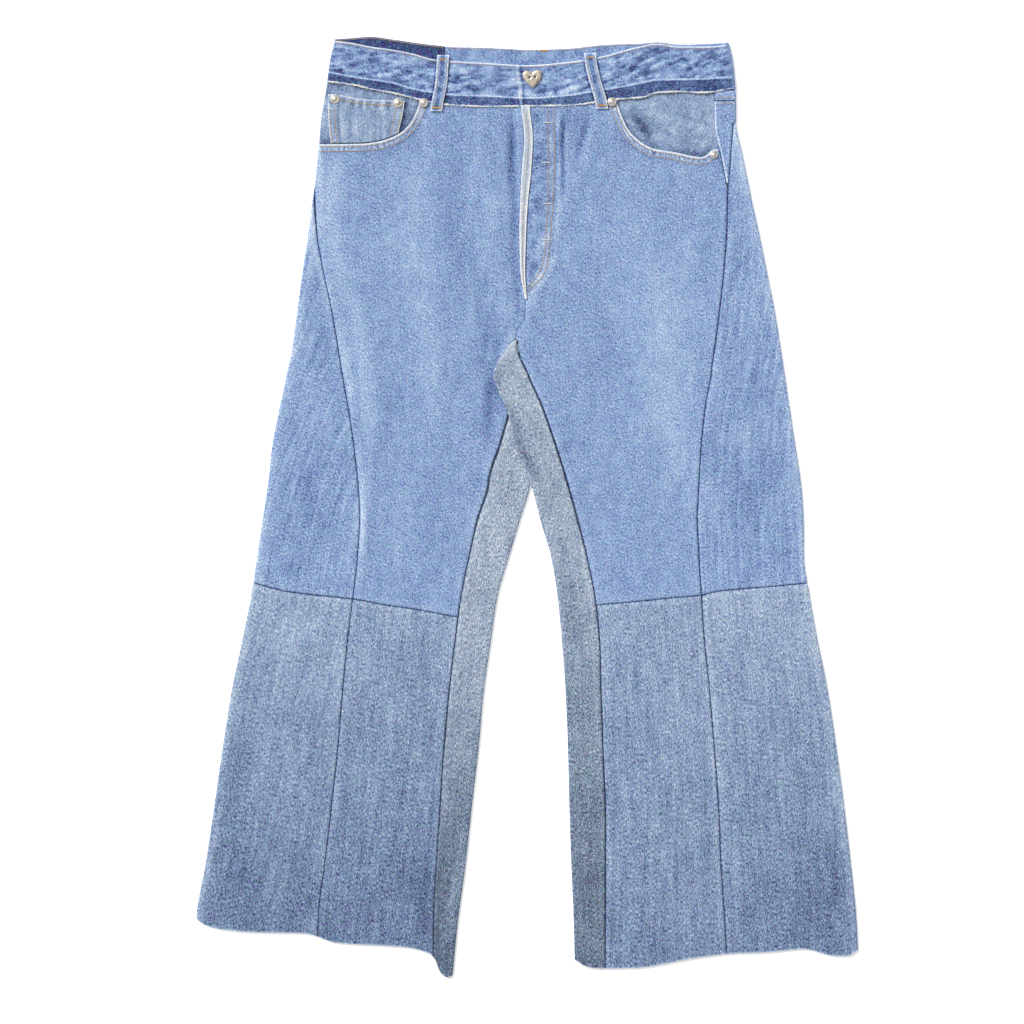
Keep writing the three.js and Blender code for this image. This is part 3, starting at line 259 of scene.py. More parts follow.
# Smaller creases, worn fades and painted shade: x, height, angle, half length, half width, rise,
# tone, where a tone below 0 makes the cloth darker. Most pale tones are fades of wear; the dark tones
# in the trough left of the fly, in troughs at the crotch, along the edge where the left leg lies on
# the right one and inside the left pocket mouth are painted shade, and the pale tones on the ridges
# beside those troughs are painted light.
CREASES = (
    (-112.4, 747.6, 90, 170, 24, 0, 0.07), (-75.6, 810.6, 90, 110, 14, 0, -0.07),
    (-143.8, 584.9, 80, 45, 12, -0.3, -0.06), (-54.6, 852.6, 90, 50, 10, 0.3, 0.06),
    (148.1, 653.1, 92, 150, 42, 0, 0.06), (171.2, 763.4, 90, 26, 14, 0.2, 0.06),
    (171.2, 637.4, 90, 34, 14, 0.2, 0.06), (211.1, 789.6, 88, 78, 9, 0, -0.08),
    (244.7, 710.9, 75, 50, 26, 0, 0.06), (-222.6, 782.2, 85, 40, 12, 0, 0.1),
    (-227.9, 500.9, 92, 60, 16, 0, -0.06), (-243.6, 364.4, 20, 50, 26, 0, 0.06),
    (76.7, 80.9, 90, 60, 24, 0, -0.08), (318.2, 91.4, 80, 60, 24, 0, -0.08),
    (197.4, 238.4, 92, 170, 12, 0, 0.06), (-91.4, 49.4, 90, 50, 30, 0, -0.06),
    (-238.4, 80.9, 80, 60, 30, 0, -0.05), (-105, 903, 118, 8, 2.2, -0.4, -0.1),
    (-101.9, 904.1, 118, 8, 2.2, 0.4, 0.08), (-75.6, 900.9, 122, 11, 2.4, -0.5, -0.12),
    (-71.4, 902, 122, 11, 2.6, 0.5, 0.07), (10.5, 902, 0, 9, 5, 0, -0.13), (11.6, 856.8, 0, 9, 6, 0, -0.13),
    (10.5, 811.7, 0, 9, 8, 0, -0.13), (8.4, 770.7, 0, 7, 4, 0, -0.1), (7.4, 746.6, 0, 7, 6, 0, -0.13),
    (37.8, 863.1, 91, 48, 3.5, -0.5, -0.08), (42, 863.1, 91, 48, 4, 0.4, 0.05),
    (-195.3, 956.6, 170, 11, 2, 0.3, 0.16), (-176.4, 955, 0, 9, 1.6, 0.3, 0.16),
    (-143.8, 955.7, 5, 6, 1.6, 0.3, 0.14), (-156.5, 945, 172, 12, 3, 0.3, 0.12),
    (-116.6, 945, 150, 16, 2.6, 0.45, 0.18), (-123.9, 949.2, 152, 9, 2, -0.3, -0.08),
    (-110.2, 937.7, 160, 12, 2, 0.3, 0.14), (-205.8, 960.8, 60, 8, 5, 0, -0.12),
    (-173.2, 950.2, 90, 7, 5, 0, -0.12), (-59.9, 939.8, 28, 12, 1.7, 0.5, 0.17),
    (-45.1, 941.9, 40, 5, 1.5, 0.4, 0.14), (-28.4, 931.4, 8, 12, 2.4, 0.3, 0.13),
    (-62, 933.5, 150, 10, 2, 0, -0.1), (173.2, 956.6, 125, 12, 2.6, 0.6, 0.2),
    (170.1, 954.5, 122, 12, 2.6, -0.5, -0.12), (194.2, 960.8, 160, 12, 2, 0.5, 0.16),
    (155.4, 956.6, 20, 14, 2, 0.4, 0.14), (138.6, 959.7, 88, 6, 1.6, -0.5, -0.15),
    (-203.7, 842.1, 95, 38, 22, 0, 0.12), (-210, 800.1, 100, 60, 18, 0, 0.14),
    (-195.3, 742.4, 106, 52, 17, 0, 0.13), (-174.3, 658.4, 100, 72, 17, 0.4, 0.15),
    (-167, 590.1, 92, 54, 14, 0.4, 0.13), (-171.2, 500.9, 86, 74, 12, 0.3, 0.13),
    (-199.5, 689.9, 102, 42, 5, 0, -0.1), (-99.8, 637.4, 90, 112, 18, 0, 0.06),
    (-37.8, 789.6, 82, 64, 14, 0.5, 0.1), (-15.8, 868.4, 91, 62, 7, -0.9, -0.14),
    (-13.7, 794.9, 90, 56, 6.5, -0.9, -0.16), (-10.5, 724.5, 95, 52, 6.5, -0.8, -0.15),
    (-47.2, 710.9, 85, 42, 11, -0.4, -0.07), (-31.5, 635.2, 88, 60, 11, -0.5, -0.14),
    (-13.7, 584.9, 118, 34, 7, 0, -0.13), (0, 548.1, 115, 42, 6, 0, -0.14),
    (-94.5, 852.6, 92, 52, 14, -0.4, -0.05), (-152.2, 857.9, 90, 20, 12, 0, -0.05),
    (139.7, 710.9, 90, 125, 60, 0, 0.05), (156.5, 563.9, 95, 72, 30, 0, 0.07),
    (171.2, 492.5, 90, 32, 14, 0.3, 0.09), (36.8, 807.5, 73, 52, 9, 0.4, 0.1),
    (11.6, 726.6, 68, 48, 10, 0.4, 0.13), (-11.6, 666.8, 60, 32, 9, 0.3, 0.09),
    (55.7, 891.5, 73, 40, 13, -0.5, -0.09), (57.8, 882, 73, 33, 4.5, -0.9, -0.16),
    (65.1, 878.9, 73, 33, 5, 0.6, 0.09), (119.7, 891.5, 127, 30, 8, 0, -0.2),
    (202.7, 857.9, 90, 30, 8, 0, -0.15), (-212.1, 479.9, 90, 54, 22, 0, -0.05),
    (-254.1, 453.6, 90, 40, 16, 0, -0.05), (234.2, 500.9, 90, 74, 42, 0, -0.06),
    (-296.1, 91.4, 80, 62, 48, 0, -0.08), (-317.1, 185.8, 80, 42, 22, 0, -0.05),
    (-101.9, 101.9, 85, 84, 16, 0, -0.08), (-78.8, 80.9, 80, 84, 11, 0, 0.12),
    (-215.2, 133.3, 86, 70, 10, 0, 0.05), (47.2, 395.9, 95, 72, 15, 0, -0.08),
    (39.9, 301.4, 90, 62, 13, 0, -0.04), (102.9, 311.9, 90, 60, 14, 0, -0.05),
    (108.2, 206.9, 90, 50, 14, 0, -0.05), (207.9, 290.9, 92, 62, 10, 0, 0.06),
    (216.3, 185.8, 92, 66, 10, 0, 0.09), (218.4, 91.4, 92, 44, 10, 0, 0.07),
    (286.7, 80.9, 90, 62, 32, 0, -0.06), (79.8, 101.9, 90, 62, 10, 0, 0.06),
    (-114.5, 908.2, 115, 26, 9, 0, 0.12), (89.2, 908.2, 80, 18, 9, 0, 0.12),
    (152.2, 899.9, 20, 26, 15, 0, 0.08), (-211.1, 905.1, 95, 28, 10, 0, 0.09),
    (9.5, 810.6, 0, 10, 11, -0.3, -0.1), (9.5, 852.6, 0, 10, 7, -0.3, -0.08),
    (-41, 603.8, 88, 50, 9, -0.3, -0.18), (-43.1, 674.1, 85, 42, 8, -0.3, -0.12),
    (-5.2, 551.2, 116, 36, 6, 0, -0.2), (-24.2, 658.4, 64, 40, 6, 0.3, 0.13),
    (-190.1, 647.9, 100, 72, 8, 0.3, 0.2), (-172.2, 464.1, 90, 62, 7, 0.3, 0.13),
    (-211.1, 726.6, 105, 55, 8, 0, 0.14), (-219.5, 868.4, 95, 62, 6, 0, 0.18),
    (-16.8, 868.4, 91, 58, 7, -0.5, -0.13), (14.7, 766.5, 62, 22, 8, 0.4, 0.17),
    (36.8, 883.1, 78, 44, 6, -0.6, -0.16), (121.8, 892.5, 127, 22, 6, -0.4, -0.22),
    (-290.9, 553.4, 100, 90, 20, 0, 0.03), (-306.6, 222.6, 78, 140, 30, 0, -0.05),
    (-112.4, 96.6, 85, 70, 14, 0, -0.06), (42, 395.9, 96, 80, 8, 0, -0.09),
    (89.2, 227.9, 90, 125, 10, 0, -0.06), (188, 175.3, 90, 100, 9, 0, -0.06),
    (218.4, 485.1, 90, 26, 14, 0, -0.08), (134.4, 616.4, 95, 80, 30, 0, 0.05),
    (102.9, 773.9, 90, 60, 30, 0, 0.04), (-133.3, 773.9, 90, 120, 30, 0, 0.035),
    (-248.9, 196.3, 90, 90, 12, 0, 0.05),
)


def soft_spots(table, x, height, amount=5):
    """The sum of soft spots at places: x, height, angle, half length, half width, rise, tone."""
    total = np.zeros(np.broadcast(x, height).shape)
    for spot in table:
        x0, height0, angle, length, width = spot[:5]
        if not spot[amount]:
            continue
        cos, sin = math.cos(math.radians(angle)), math.sin(math.radians(angle))
        along = ((x - x0) * cos + (height - height0) * sin) / length
        across = ((height - height0) * cos - (x - x0) * sin) / width
        inside = (np.abs(along) < 1) & (np.abs(across) < 1)
        total += np.where(inside, spot[amount] * (1 - along**2) ** 2 * (1 - across**2) ** 2, 0)
    return total


def fold_rise(x, height):
    """How far the largest folds lift the cloth."""
    return soft_spots(FOLDS, x, height)


def crumple(x, height, wide, tall, angle=0, seed=0):
    """Uneven soft ridges and hollows, from -1 to 1, about wide by tall mm in size."""
    heights = np.random.default_rng(seed).uniform(-1, 1, (97, 89))
    cos, sin = math.cos(math.radians(angle)), math.sin(math.radians(angle))
    u = (x * cos + height * sin) / wide + 300
    v = (height * cos - x * sin) / tall + 300
    i, j = np.floor(u).astype(int), np.floor(v).astype(int)
    a, b = smooth(u - i, 0, 1), smooth(v - j, 0, 1)

    def corner(k, m):
        return heights[(i + k) % 97, (j + m) % 89]

    return lerp(lerp(corner(0, 0), corner(1, 0), a), lerp(corner(0, 1), corner(1, 1), a), b)


print(len(FOLDS), "folds and", len(CREASES), "creases")

# %% [markdown]
# A leg of a laid-out pair of jeans is a flattened tube. At each edge the cloth turns round a small
# bend. A place on the cloth is given by its distance from the bend's tip, positive on the front and
# negative on the back, so a panel can pass round the edge without a break.

# %% Folded cloth
CROSSING = (480, 524, 630, 680)
FLAT_BY_FOLD = 26
UNDER_LAP = 36


def crossing(height):
    """0 where the legs lie side by side, 1 where the left leg lies on the right one."""
    return smooth(height, CROSSING[0], CROSSING[1])


def crossing_front(height):
    return crossing(height) * (1 - smooth(height, CROSSING[2], CROSSING[3]))


class Fold:
    """A bend of the cloth at one edge of a leg."""

    def __init__(self, tip, outward, cloth=CLOTH, front=None, back=None, flat_by=None, extra=None):
        self.tip, self.outward, self.cloth = tip, outward, cloth
        self.front = front or (lambda height: FRONT_LEVEL)
        self.back = back or (lambda height: BACK_LEVEL)
        self.flat_by = flat_by or (lambda height: 0)
        self.extra = extra

    def bend(self, height):
        radius = (self.front(height) - self.back(height)) / 2
        return radius, radius + self.cloth / 2, radius * math.pi / 2

    def quarter(self, height):
        return self.bend(height)[2]

    def reach(self, x, height):
        """The position round the cloth of a place on the front."""
        _, outer, quarter = self.bend(height)
        return self.outward * (self.tip(height) - x) - outer + quarter

    def back_reach(self, x, height):
        """The position round the cloth of a place on the back."""
        _, outer, quarter = self.bend(height)
        return outer - quarter - self.outward * (self.tip(height) - x)

    def point(self, position, height):
        """The x and z of the middle of the cloth."""
        radius, outer, quarter = self.bend(height)
        angle = np.clip(position / radius, -math.pi / 2, math.pi / 2)
        flat = np.maximum(0, np.abs(position) - quarter)
        x = self.tip(height) - self.outward * (outer - radius * np.cos(angle) + flat)
        z = (self.front(height) + self.back(height)) / 2 + radius * np.sin(angle)
        start = self.flat_by(height)
        lift = fold_rise(x, height) * smooth(flat - start, 0, FLAT_BY_FOLD)
        if self.extra:
            lift = lift + self.extra(x, height)
        return x, z + np.where(position > quarter, lift, 0)


def left_inseam_x(height):
    return left["inner"](height) + left["inseam"](height)


RIDE_WIDTH = 75


def ride_up(x, height):
    """How far the left front rides up beside the left inseam panel, where the legs cross."""
    beside = smooth(x - left_inseam_x(height), 0, RIDE_WIDTH)
    return CROSSING_RISE * crossing_front(height) * (1 - beside)


POCKET_HEM_RISE = 0.9
POCKET_HEM_WIDTH = 9


def pocket_hem(mouth, start, end):
    """The stitched hem of a pocket mouth, which stands proud."""

    def lift(x, height):
        below = np.abs(mouth(x) - height) / POCKET_HEM_WIDTH
        inside = (x >= start) & (x <= end)
        return np.where(inside, POCKET_HEM_RISE * np.maximum(0, 1 - below**2), 0)

    return lift


hem_right = pocket_hem(mouth_right, -230, -116)
hem_left = pocket_hem(mouth_left, 98, 200)
outer_right = Fold(right["outer"], -1, extra=hem_right)
outer_left = Fold(left["outer"], 1, extra=lambda x, height: hem_left(x, height) + ride_up(x, height))
inner_right = Fold(right["inner"], 1, flat_by=lambda height: UNDER_LAP * crossing(height))
inner_left = Fold(
    left["inner"],
    -1,
    front=lambda height: FRONT_LEVEL + CROSSING_RISE * crossing(height),
    back=lambda height: BACK_LEVEL + CROSSING_UNDER_RISE * crossing(height),
)
facing_fold = Fold(right["outer"], -1, front=lambda height: FACING_LEVEL)
BAND_LEVELS = {
    "cloth": BAND_CLOTH,
    "front": lambda height: BAND_FACE - BAND_CLOTH / 2,
    "back": lambda height: BAND_BACK_LEVEL,
}
band_fold_right = Fold(right["outer"], -1, **BAND_LEVELS)
band_fold_left = Fold(left["outer"], 1, **BAND_LEVELS)
print("the bend's outer radius is", outer_right.bend(400)[1], "mm")

# %% [markdown]
# A panel is a grid of points. Its columns follow the seams and its rows run from its lower edge to
# its upper edge. Near a sewn edge the lines lie closer together, because the cloth turns down into
# the seam there within a millimetre or two.

# %% Grids over panels
EDGE_STEPS = (0, 0.35, 0.8, 1.6, 3)
EDGE_ROOM = 14
SETTLE_PASSES = 12


def stops(count, start=EDGE_STEPS, end=EDGE_STEPS, shares=None):
    """Lines of a grid, each as a share of the way across and a distance in mm on from there."""
    shares = np.linspace(0, 1, count + 1) if shares is None else np.asarray(shares)
    inner = [(s, lerp(start[-1], -end[-1], s)) for s in shares if 0 < s < 1]
    return [(0, s) for s in start] + inner + [(1, -s) for s in reversed(end)]


def between(first, last, lines):
    """Columns from one seam to another, half a gap in from each."""

    def column(share, step):
        def position(height):
            a, b = first(height), last(height)
            way = np.sign(b - a)
            squeeze = np.minimum(1, np.abs(b - a) / EDGE_ROOM)
            return lerp(a + HALF_GAP * way, b - HALF_GAP * way, share) + step * squeeze * way

        return position

    return [column(share, step) for share, step in lines]


BEND_SHARES = (1, 0.6, 0.2, -0.2, -0.6, -1)
LEAST_STEP = 0.12


def round_fold(fold, front_seam, back_seam, front_lines, back_lines):
    """Columns of a strip that passes round a fold, from its front seam to its back seam."""

    def front(height):
        return front_seam(height) - HALF_GAP

    def back(height):
        return back_seam(height) + HALF_GAP

    def bend(k, share):
        def position(height):
            most = front(height) - LEAST_STEP * (k + 1)
            least = back(height) + LEAST_STEP * (len(BEND_SHARES) - k)
            return np.maximum(least, np.minimum(most, fold.quarter(height) * share))

        return position

    def stretch(a, b, share, step):
        def position(height):
            start, end = a(height), b(height)
            squeeze = np.minimum(1, np.abs(end - start) / EDGE_ROOM)
            return lerp(start, end, share) - step * squeeze

        return position

    bends = [bend(k, share) for k, share in enumerate(BEND_SHARES)]
    columns = [stretch(front, bends[0], *line) for line in front_lines if line[0] < 1]
    columns += bends
    columns += [stretch(bends[-1], back, *line) for line in back_lines if line[0] > 0 or line[1] > 0]
    return columns if fold.outward > 0 else columns[::-1]


def grid_over(columns, place, lower, upper, rows):
    """Points over a panel: place turns a position and a height into x and z."""
    share = np.array([line[0] for line in rows], float)
    step = np.array([line[1] for line in rows], float)
    points = np.empty((len(rows), len(columns), 3))
    for i, column in enumerate(columns):
        height = np.full(len(rows), (float(lower(0)) + float(upper(0))) / 2)
        for _ in range(SETTLE_PASSES):
            x, z = place(column(height), height)
            low, high = lower(x) + HALF_GAP, upper(x) - HALF_GAP
            squeeze = np.minimum(1, (high - low) / EDGE_ROOM)
            height = lerp(low, high, share) + step * squeeze
        x, z = place(column(height), height)
        points[:, i] = np.stack([x + 0 * height, height, z + 0 * height], axis=1)
    return points


def normals_of(points):
    """The direction that each point of a grid faces."""
    across = np.gradient(points, axis=1)
    along = np.gradient(points, axis=0)
    normals = np.cross(across, along)
    return normals / np.maximum(np.linalg.norm(normals, axis=2, keepdims=True), 1e-9)


def run(points, axis):
    """The distance along the grid's lines from its first row or column."""
    steps = np.linalg.norm(np.diff(points, axis=axis), axis=2)
    zero = np.zeros_like(np.take(steps, [0], axis=axis))
    return np.concatenate([zero, np.cumsum(steps, axis=axis)], axis=axis)


print("a sewn edge has lines at", EDGE_STEPS, "mm")

# %% [markdown]
# Denim is blue on the outside only: the yarns are dyed on their surface, so wear shows paler cores.
# One number, the tone, therefore says how worn a place is, from 0 for unworn indigo to 1 for white
# thread, and it also carries painted shade and painted light in creases and beside seams and edges.
# A colour ramp turns it into colour. The tone of each point is kept in the mesh, and noise in the
# material adds the speckle of the yarns to it.

# %% Worn places and creases on the side that lies on the table, like those of the front
BACK_CREASES = (
    (-110, 800, 80, 130, 60, 0, 0.1), (105, 790, 95, 130, 60, 0, 0.1), (-120, 640, 90, 150, 70, 0, 0.05),
    (125, 630, 90, 150, 70, 0, 0.05), (-40, 700, 60, 60, 22, 0, -0.06), (45, 700, 120, 60, 22, 0, -0.06),
    (-200, 300, 85, 160, 60, 0, 0.05), (190, 300, 95, 160, 60, 0, 0.05),
    (-60, 640, 70, 70, 14, 0.5, 0.04), (70, 636, 108, 74, 15, 0.5, 0.04), (-150, 560, 95, 120, 22, 0.4, 0.03),
    (150, 570, 86, 120, 22, 0.4, 0.03), (-210, 220, 84, 120, 24, 0.4, 0.03),
    (205, 200, 96, 120, 24, 0.4, 0.03),
    (-45, 700, 62, 42, 9, 0.4, 0.05), (45, 704, 118, 44, 9, 0.4, 0.05), (-105, 730, 90, 60, 16, 0.35, 0.03),
    (100, 735, 93, 62, 16, 0.35, 0.03),
)
SEAM_DEPTH = 0.75
SEAM_RIDGE = 0.22
SEAM_SHADE = -0.62


def seam_form(edge):
    """How far the cloth stands out from its flat at a distance from a seam."""
    groove = -SEAM_DEPTH * (1 - smooth(edge, 0, 1.7))
    allowance = SEAM_RIDGE * smooth(edge, 1, 3) * (1 - smooth(edge, 7.5, 11))
    return groove + allowance


def seam_shade_and_wear(edge):
    """The seam's dark line, painted shade of its groove, and the paler wear beside it."""
    return SEAM_SHADE * (1 - smooth(edge, 0.2, 1)) + 0.05 * smooth(edge, 0.9, 1.6) * (1 - smooth(edge, 3, 9))


print(len(BACK_CREASES), "creases and worn places at the back")

# %% Colour ramps of the two denims, from unworn to white
BLUE = (
    (0.0, (0.026, 0.04, 0.115)), (0.2, (0.08, 0.118, 0.27)), (0.4, (0.19, 0.278, 0.49)),
    (0.5, (0.255, 0.362, 0.588)), (0.6, (0.33, 0.45, 0.66)), (0.72, (0.44, 0.56, 0.74)),
    (0.86, (0.64, 0.72, 0.82)), (1.0, (0.9, 0.92, 0.93)),
)
BLUER = tuple((stop, (red * 0.9, green * 0.95, min(1, blue * 1.04))) for stop, (red, green, blue) in BLUE)
GREY = (
    (0.0, (0.028, 0.038, 0.075)), (0.22, (0.088, 0.12, 0.188)), (0.4, (0.182, 0.243, 0.345)),
    (0.5, (0.248, 0.322, 0.44)), (0.6, (0.33, 0.412, 0.54)), (0.72, (0.44, 0.52, 0.63)),
    (0.86, (0.64, 0.69, 0.75)), (1.0, (0.9, 0.91, 0.9)),
)


class Shader:
    """A material's nodes, made and joined in short calls."""

    def __init__(self, name, **settings):
        self.material = bpy.data.materials.new(name)
        self.material.use_nodes = True
        self.tree = self.material.node_tree
        self.surface = next(n for n in self.tree.nodes if n.type == "BSDF_PRINCIPLED")
        for socket, value in settings.items():
            self.surface.inputs[socket.replace("_", " ")].default_value = value

    def node(self, kind, inputs=(), **options):
        """A node, its options and its inputs. An input is a value or another node's output."""
        made = self.tree.nodes.new("ShaderNode" + kind)
        for option, value in options.items():
            setattr(made, option, value)
        for socket, value in dict(inputs).items():
            if isinstance(value, bpy.types.NodeSocket):
                self.tree.links.new(value, made.inputs[socket])
            else:
                made.inputs[socket].default_value = value
        return made

    def sum(self, a, factor, b):
        """a times factor, plus b."""
        return self.node("Math", {0: a, 1: factor, 2: b}, operation="MULTIPLY_ADD").outputs[0]

    def ramp(self, value, colours):
        made = self.node("ValToRGB", {"Fac": value})
        stops_of = made.color_ramp.elements
        while len(stops_of) < len(colours):
            stops_of.new(0.5)
        for stop, (position, colour) in zip(stops_of, colours):
            stop.position = position
            stop.color = (*colour, 1)
        return made.outputs["Color"]

    def paint(self, colour=None, normal=None, roughness=None):
        for socket, value in (("Base Color", colour), ("Normal", normal), ("Roughness", roughness)):
            if value is not None:
                self.tree.links.new(value, self.surface.inputs[socket])
        return self.material


def denim(name, ramp, other, speckle=1.0, streaks=0.3, slant=12, clouds=0.3, shift=0.0, lengthen=1.0):
    """Denim with its tone from the mesh and its speckle along the grain."""
    s = Shader(name, Roughness=0.92, Specular_IOR_Level=0.2)
    grain = s.node("Attribute", attribute_name="grain").outputs["Vector"]
    tone = s.node("Attribute", attribute_name="tone").outputs["Fac"]
    turned = s.node("Mapping", {"Vector": grain, "Rotation": (0, 0, math.radians(slant))}).outputs[0]

    def noise(vector, across, along, detail=2.0, roughness=0.6):
        """Noise whose grains have a size in mm across and along the yarns."""
        scaled = s.node("VectorMath", {0: vector, 1: (1 / across, 1 / along, 1)}, operation="MULTIPLY")
        inputs = {"Vector": scaled.outputs[0], "Scale": 1, "Detail": detail, "Roughness": roughness}
        return s.node("TexNoise", inputs)

    yarns = noise(turned, 1.25, 2.3 * lengthen, 2, 0.75)
    slubs = noise(grain, 4.5, 70, 3)
    wash = noise(turned, 9, 16, 3)
    patches = noise(grain, 34, 60, 2)
    hue = noise(turned, 1.9, 2.6, 1)
    parts = ((yarns, speckle), (slubs, streaks), (wash, clouds), (patches, 0.2))
    value = s.sum(tone, 1, shift - 0.5 * sum(amount for _, amount in parts))
    for part, amount in parts:
        value = s.sum(part.outputs["Fac"], amount, value)
    swap = s.node("MapRange", {"Value": hue.outputs["Fac"], "From Min": 0.35, "From Max": 0.65})
    colours = {"Factor": swap.outputs[0], 6: s.ramp(value, ramp), 7: s.ramp(value, other)}
    mixed = s.node("Mix", colours, data_type="RGBA")
    cast = s.node("Mix", {"Factor": 0.11, 6: mixed.outputs[2], 7: hue.outputs["Color"]},
                  data_type="RGBA", blend_type="LINEAR_LIGHT")
    bump = s.node("Bump", {"Height": yarns.outputs["Fac"], "Strength": 0.7, "Distance": 0.0005})
    return s.paint(cast.outputs[2], bump.outputs[0])


denims = {
    "front": denim("denim_front", BLUE, BLUER, speckle=1.75, streaks=0.16, slant=25),
    "side": denim("denim_side", BLUE, BLUER, speckle=1.85, streaks=0.55, slant=10),
    "low": denim("denim_lower", GREY, BLUE, speckle=1.85, streaks=0.42, slant=12, lengthen=1.3),
    "inseam": denim("denim_inseam", GREY, GREY, speckle=2, streaks=0.36, slant=-20, lengthen=1.2),
    "band": denim("denim_band", BLUE, BLUER, speckle=1.5, streaks=0.1, slant=60, clouds=0.6),
    "pocket": denim("denim_pocket", GREY, BLUE, speckle=1.3, streaks=0.3, slant=-30, clouds=0.5),
}
inside = denim("denim_inside", GREY, GREY, speckle=0.9, streaks=0.2, shift=0.12)
print([material.name for material in denims.values()])

# %% [markdown]
# Every panel is made by the same steps. A flat grid comes from bmesh, each of its points is moved to
# its place on the cloth, and the Solidify modifier gives it the thickness of denim. The edge of each
# panel dips into its seams. Two values go with each point: its tone, and its place along the grain,
# so the weave runs with the cloth and round the folds.

# %% Panels of cloth
panels = {}
goes_with = {}
grid_places = {}
hem_rows = {}
RAW_HEM = (("lower", 1.6, 0.22),)


def cut_size(points):
    """Width, length and area of the flat cut, in metres, from its grid of places."""
    across, along = run(points, 1), run(points, 0)
    a, b, c, d = points[:-1, :-1], points[:-1, 1:], points[1:, 1:], points[1:, :-1]
    area = sum(np.linalg.norm(np.cross(q - p, r - p), axis=2).sum() / 2 for p, q, r in ((a, b, c), (a, c, d)))
    width, length = float(across[:, -1].max()) * MM, float(along[-1].max()) * MM
    return width, length, float(area) * MM * MM


def surface_mesh(name, points, values, face_down=False):
    """A grid of bmesh's own, laid on the points, with values kept for each point."""
    rows, columns = points.shape[:2]
    mesh = bpy.data.meshes.new(name)
    bm = bmesh.new()
    bmesh.ops.create_grid(bm, x_segments=columns - 1, y_segments=rows - 1, size=0.5)
    picked = []
    for vert in bm.verts:
        i = round((vert.co.x + 0.5) * (columns - 1))
        j = round((vert.co.y + 0.5) * (rows - 1))
        picked.append((j, i))
        vert.co = points[j, i]
    if face_down:
        bmesh.ops.reverse_faces(bm, faces=bm.faces[:])
    for face in bm.faces:
        face.smooth = True
    bm.to_mesh(mesh)
    bm.free()
    j, i = np.array(picked).T
    for label, data in values.items():
        vector = data.ndim == 3
        kept = mesh.attributes.new(label, "FLOAT_VECTOR" if vector else "FLOAT", "POINT")
        kept.data.foreach_set("vector" if vector else "value", data[j, i].astype(np.float32).ravel())
    return mesh, np.array(picked)


def show(name, mesh, materials, slot, *nodes):
    """Puts a finished mesh in the scene, on the part's one body, in place of its solids."""
    piece = bpy.data.objects.new(name, mesh)
    bpy.context.scene.collection.objects.link(piece)
    for material in materials:
        mesh.materials.append(material)
    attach(piece, "root")
    if nodes:
        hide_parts(*nodes)
    return piece


def thicken(piece, thickness):
    """Gives a piece the thickness of its cloth, half of it on each side."""
    wall = piece.modifiers.new("thickness", "SOLIDIFY")
    wall.thickness = thickness * MM
    wall.offset = 0.0
    wall.use_even_offset = False
    wall.material_offset = 1
    wall.material_offset_rim = 0


def panel(name, points, slot, material, tone, sewn="first last lower upper", detail=None, grain="cloth",
          face_down=False, worn=(), extra_tone=None, thickness=CLOTH, inner=None, seam_share=None):
    """Lays one panel of cloth in place of the solid of the same name."""
    across, along = run(points, 1), run(points, 0)
    edges = {"first": across, "last": across[:, -1:] - across, "lower": along, "upper": along[-1:] - along}
    far = np.full(across.shape, 99.0)
    edge = np.minimum.reduce([far] + [edges[side] for side in sewn.split()])
    x, height = points[..., 0], points[..., 1]
    normal = -normals_of(points) if face_down else normals_of(points)
    up = np.clip((normal[..., 2] - 0.6) / 0.3, 0, 1)
    shown = seam_share(x, height) if seam_share else 1
    out = np.where(normal[..., 2] < -0.2, np.minimum(0, seam_form(edge)), seam_form(edge))
    level = tone(x, height) if callable(tone) else np.full(x.shape, float(tone))
    if face_down:
        dents = soft_spots(BACK_CREASES, x, height) * smooth(edge, 0, 9)
        out = 0.35 * out - dents
        level = level + soft_spots(BACK_CREASES, x, height, 6)
    else:
        out = out + up * soft_spots(CREASES, x, height) * smooth(edge, 0, 4)
        # The crease tones add fades of wear, and painted shade and light on troughs, ridges and edges
        level = level + up * soft_spots(CREASES, x, height, 6)
    if detail is not None:
        out = out + up * detail(x, height)
    if extra_tone is not None:
        level = level + up * extra_tone(x, height)
    # Painted shade along each sewn edge, and paler wear beside it
    level = level + seam_shade_and_wear(edge) * shown
    for side, depth, amount in worn:
        level = level + amount * (1 - smooth(edges[side], depth * 0.35, depth))
    placed = points + normal * out[..., None]
    flow = np.stack([x if grain == "x" else across, height if grain == "x" else along, 0 * x], axis=2)
    flow = flow + np.array([31.0, 57.0, 0.0]) * (len(panels) + 1)
    values = {"tone": np.clip(level, 0, 1), "grain": flow}
    mesh, grid_places[name] = surface_mesh(name, in_frame(placed), values, face_down)
    piece = show(name + "_cloth", mesh, [material, inner or inside], slot, name)
    thicken(piece, thickness)
    panels[name] = (piece, cut_size(points), slot)
    goes_with[name] = []
    if worn is RAW_HEM:
        hem_rows[name] = placed[0, up[0] > 0.7, :2]
    return placed


def report_panel(*names):
    for name in names:
        width, length, area = panels[name][1]
        print(f"{name}: cut {width * 1000:.0f} by {length * 1000:.0f} mm, {area * 1e4:.0f} square cm")


print("a panel's seam dips", SEAM_DEPTH, "mm")

# %% [markdown]
# The lower legs were cut from other, older jeans, so their denim is greyer and runs darker towards
# the hem. The outer panels pass round the outer folds without a seam.

# %% Outer lower legs and side panels
ROW = 3.4
COLUMN = 3.2


def rows_for(length, spacing=ROW, start=EDGE_STEPS, end=EDGE_STEPS):
    return stops(max(2, round(length / spacing)), start, end)


def by_height(rows):
    """A tone that changes only with height."""
    shade = curve(rows)
    return lambda x, height: shade(height)


def down_to_hem(top, middle, low):
    """A tone that changes from the knee to the hem."""
    return by_height(((20, low), (110, lerp(low, middle, 0.45)), (230, middle), (400, top)))


FOLD_WEAR = 0.12


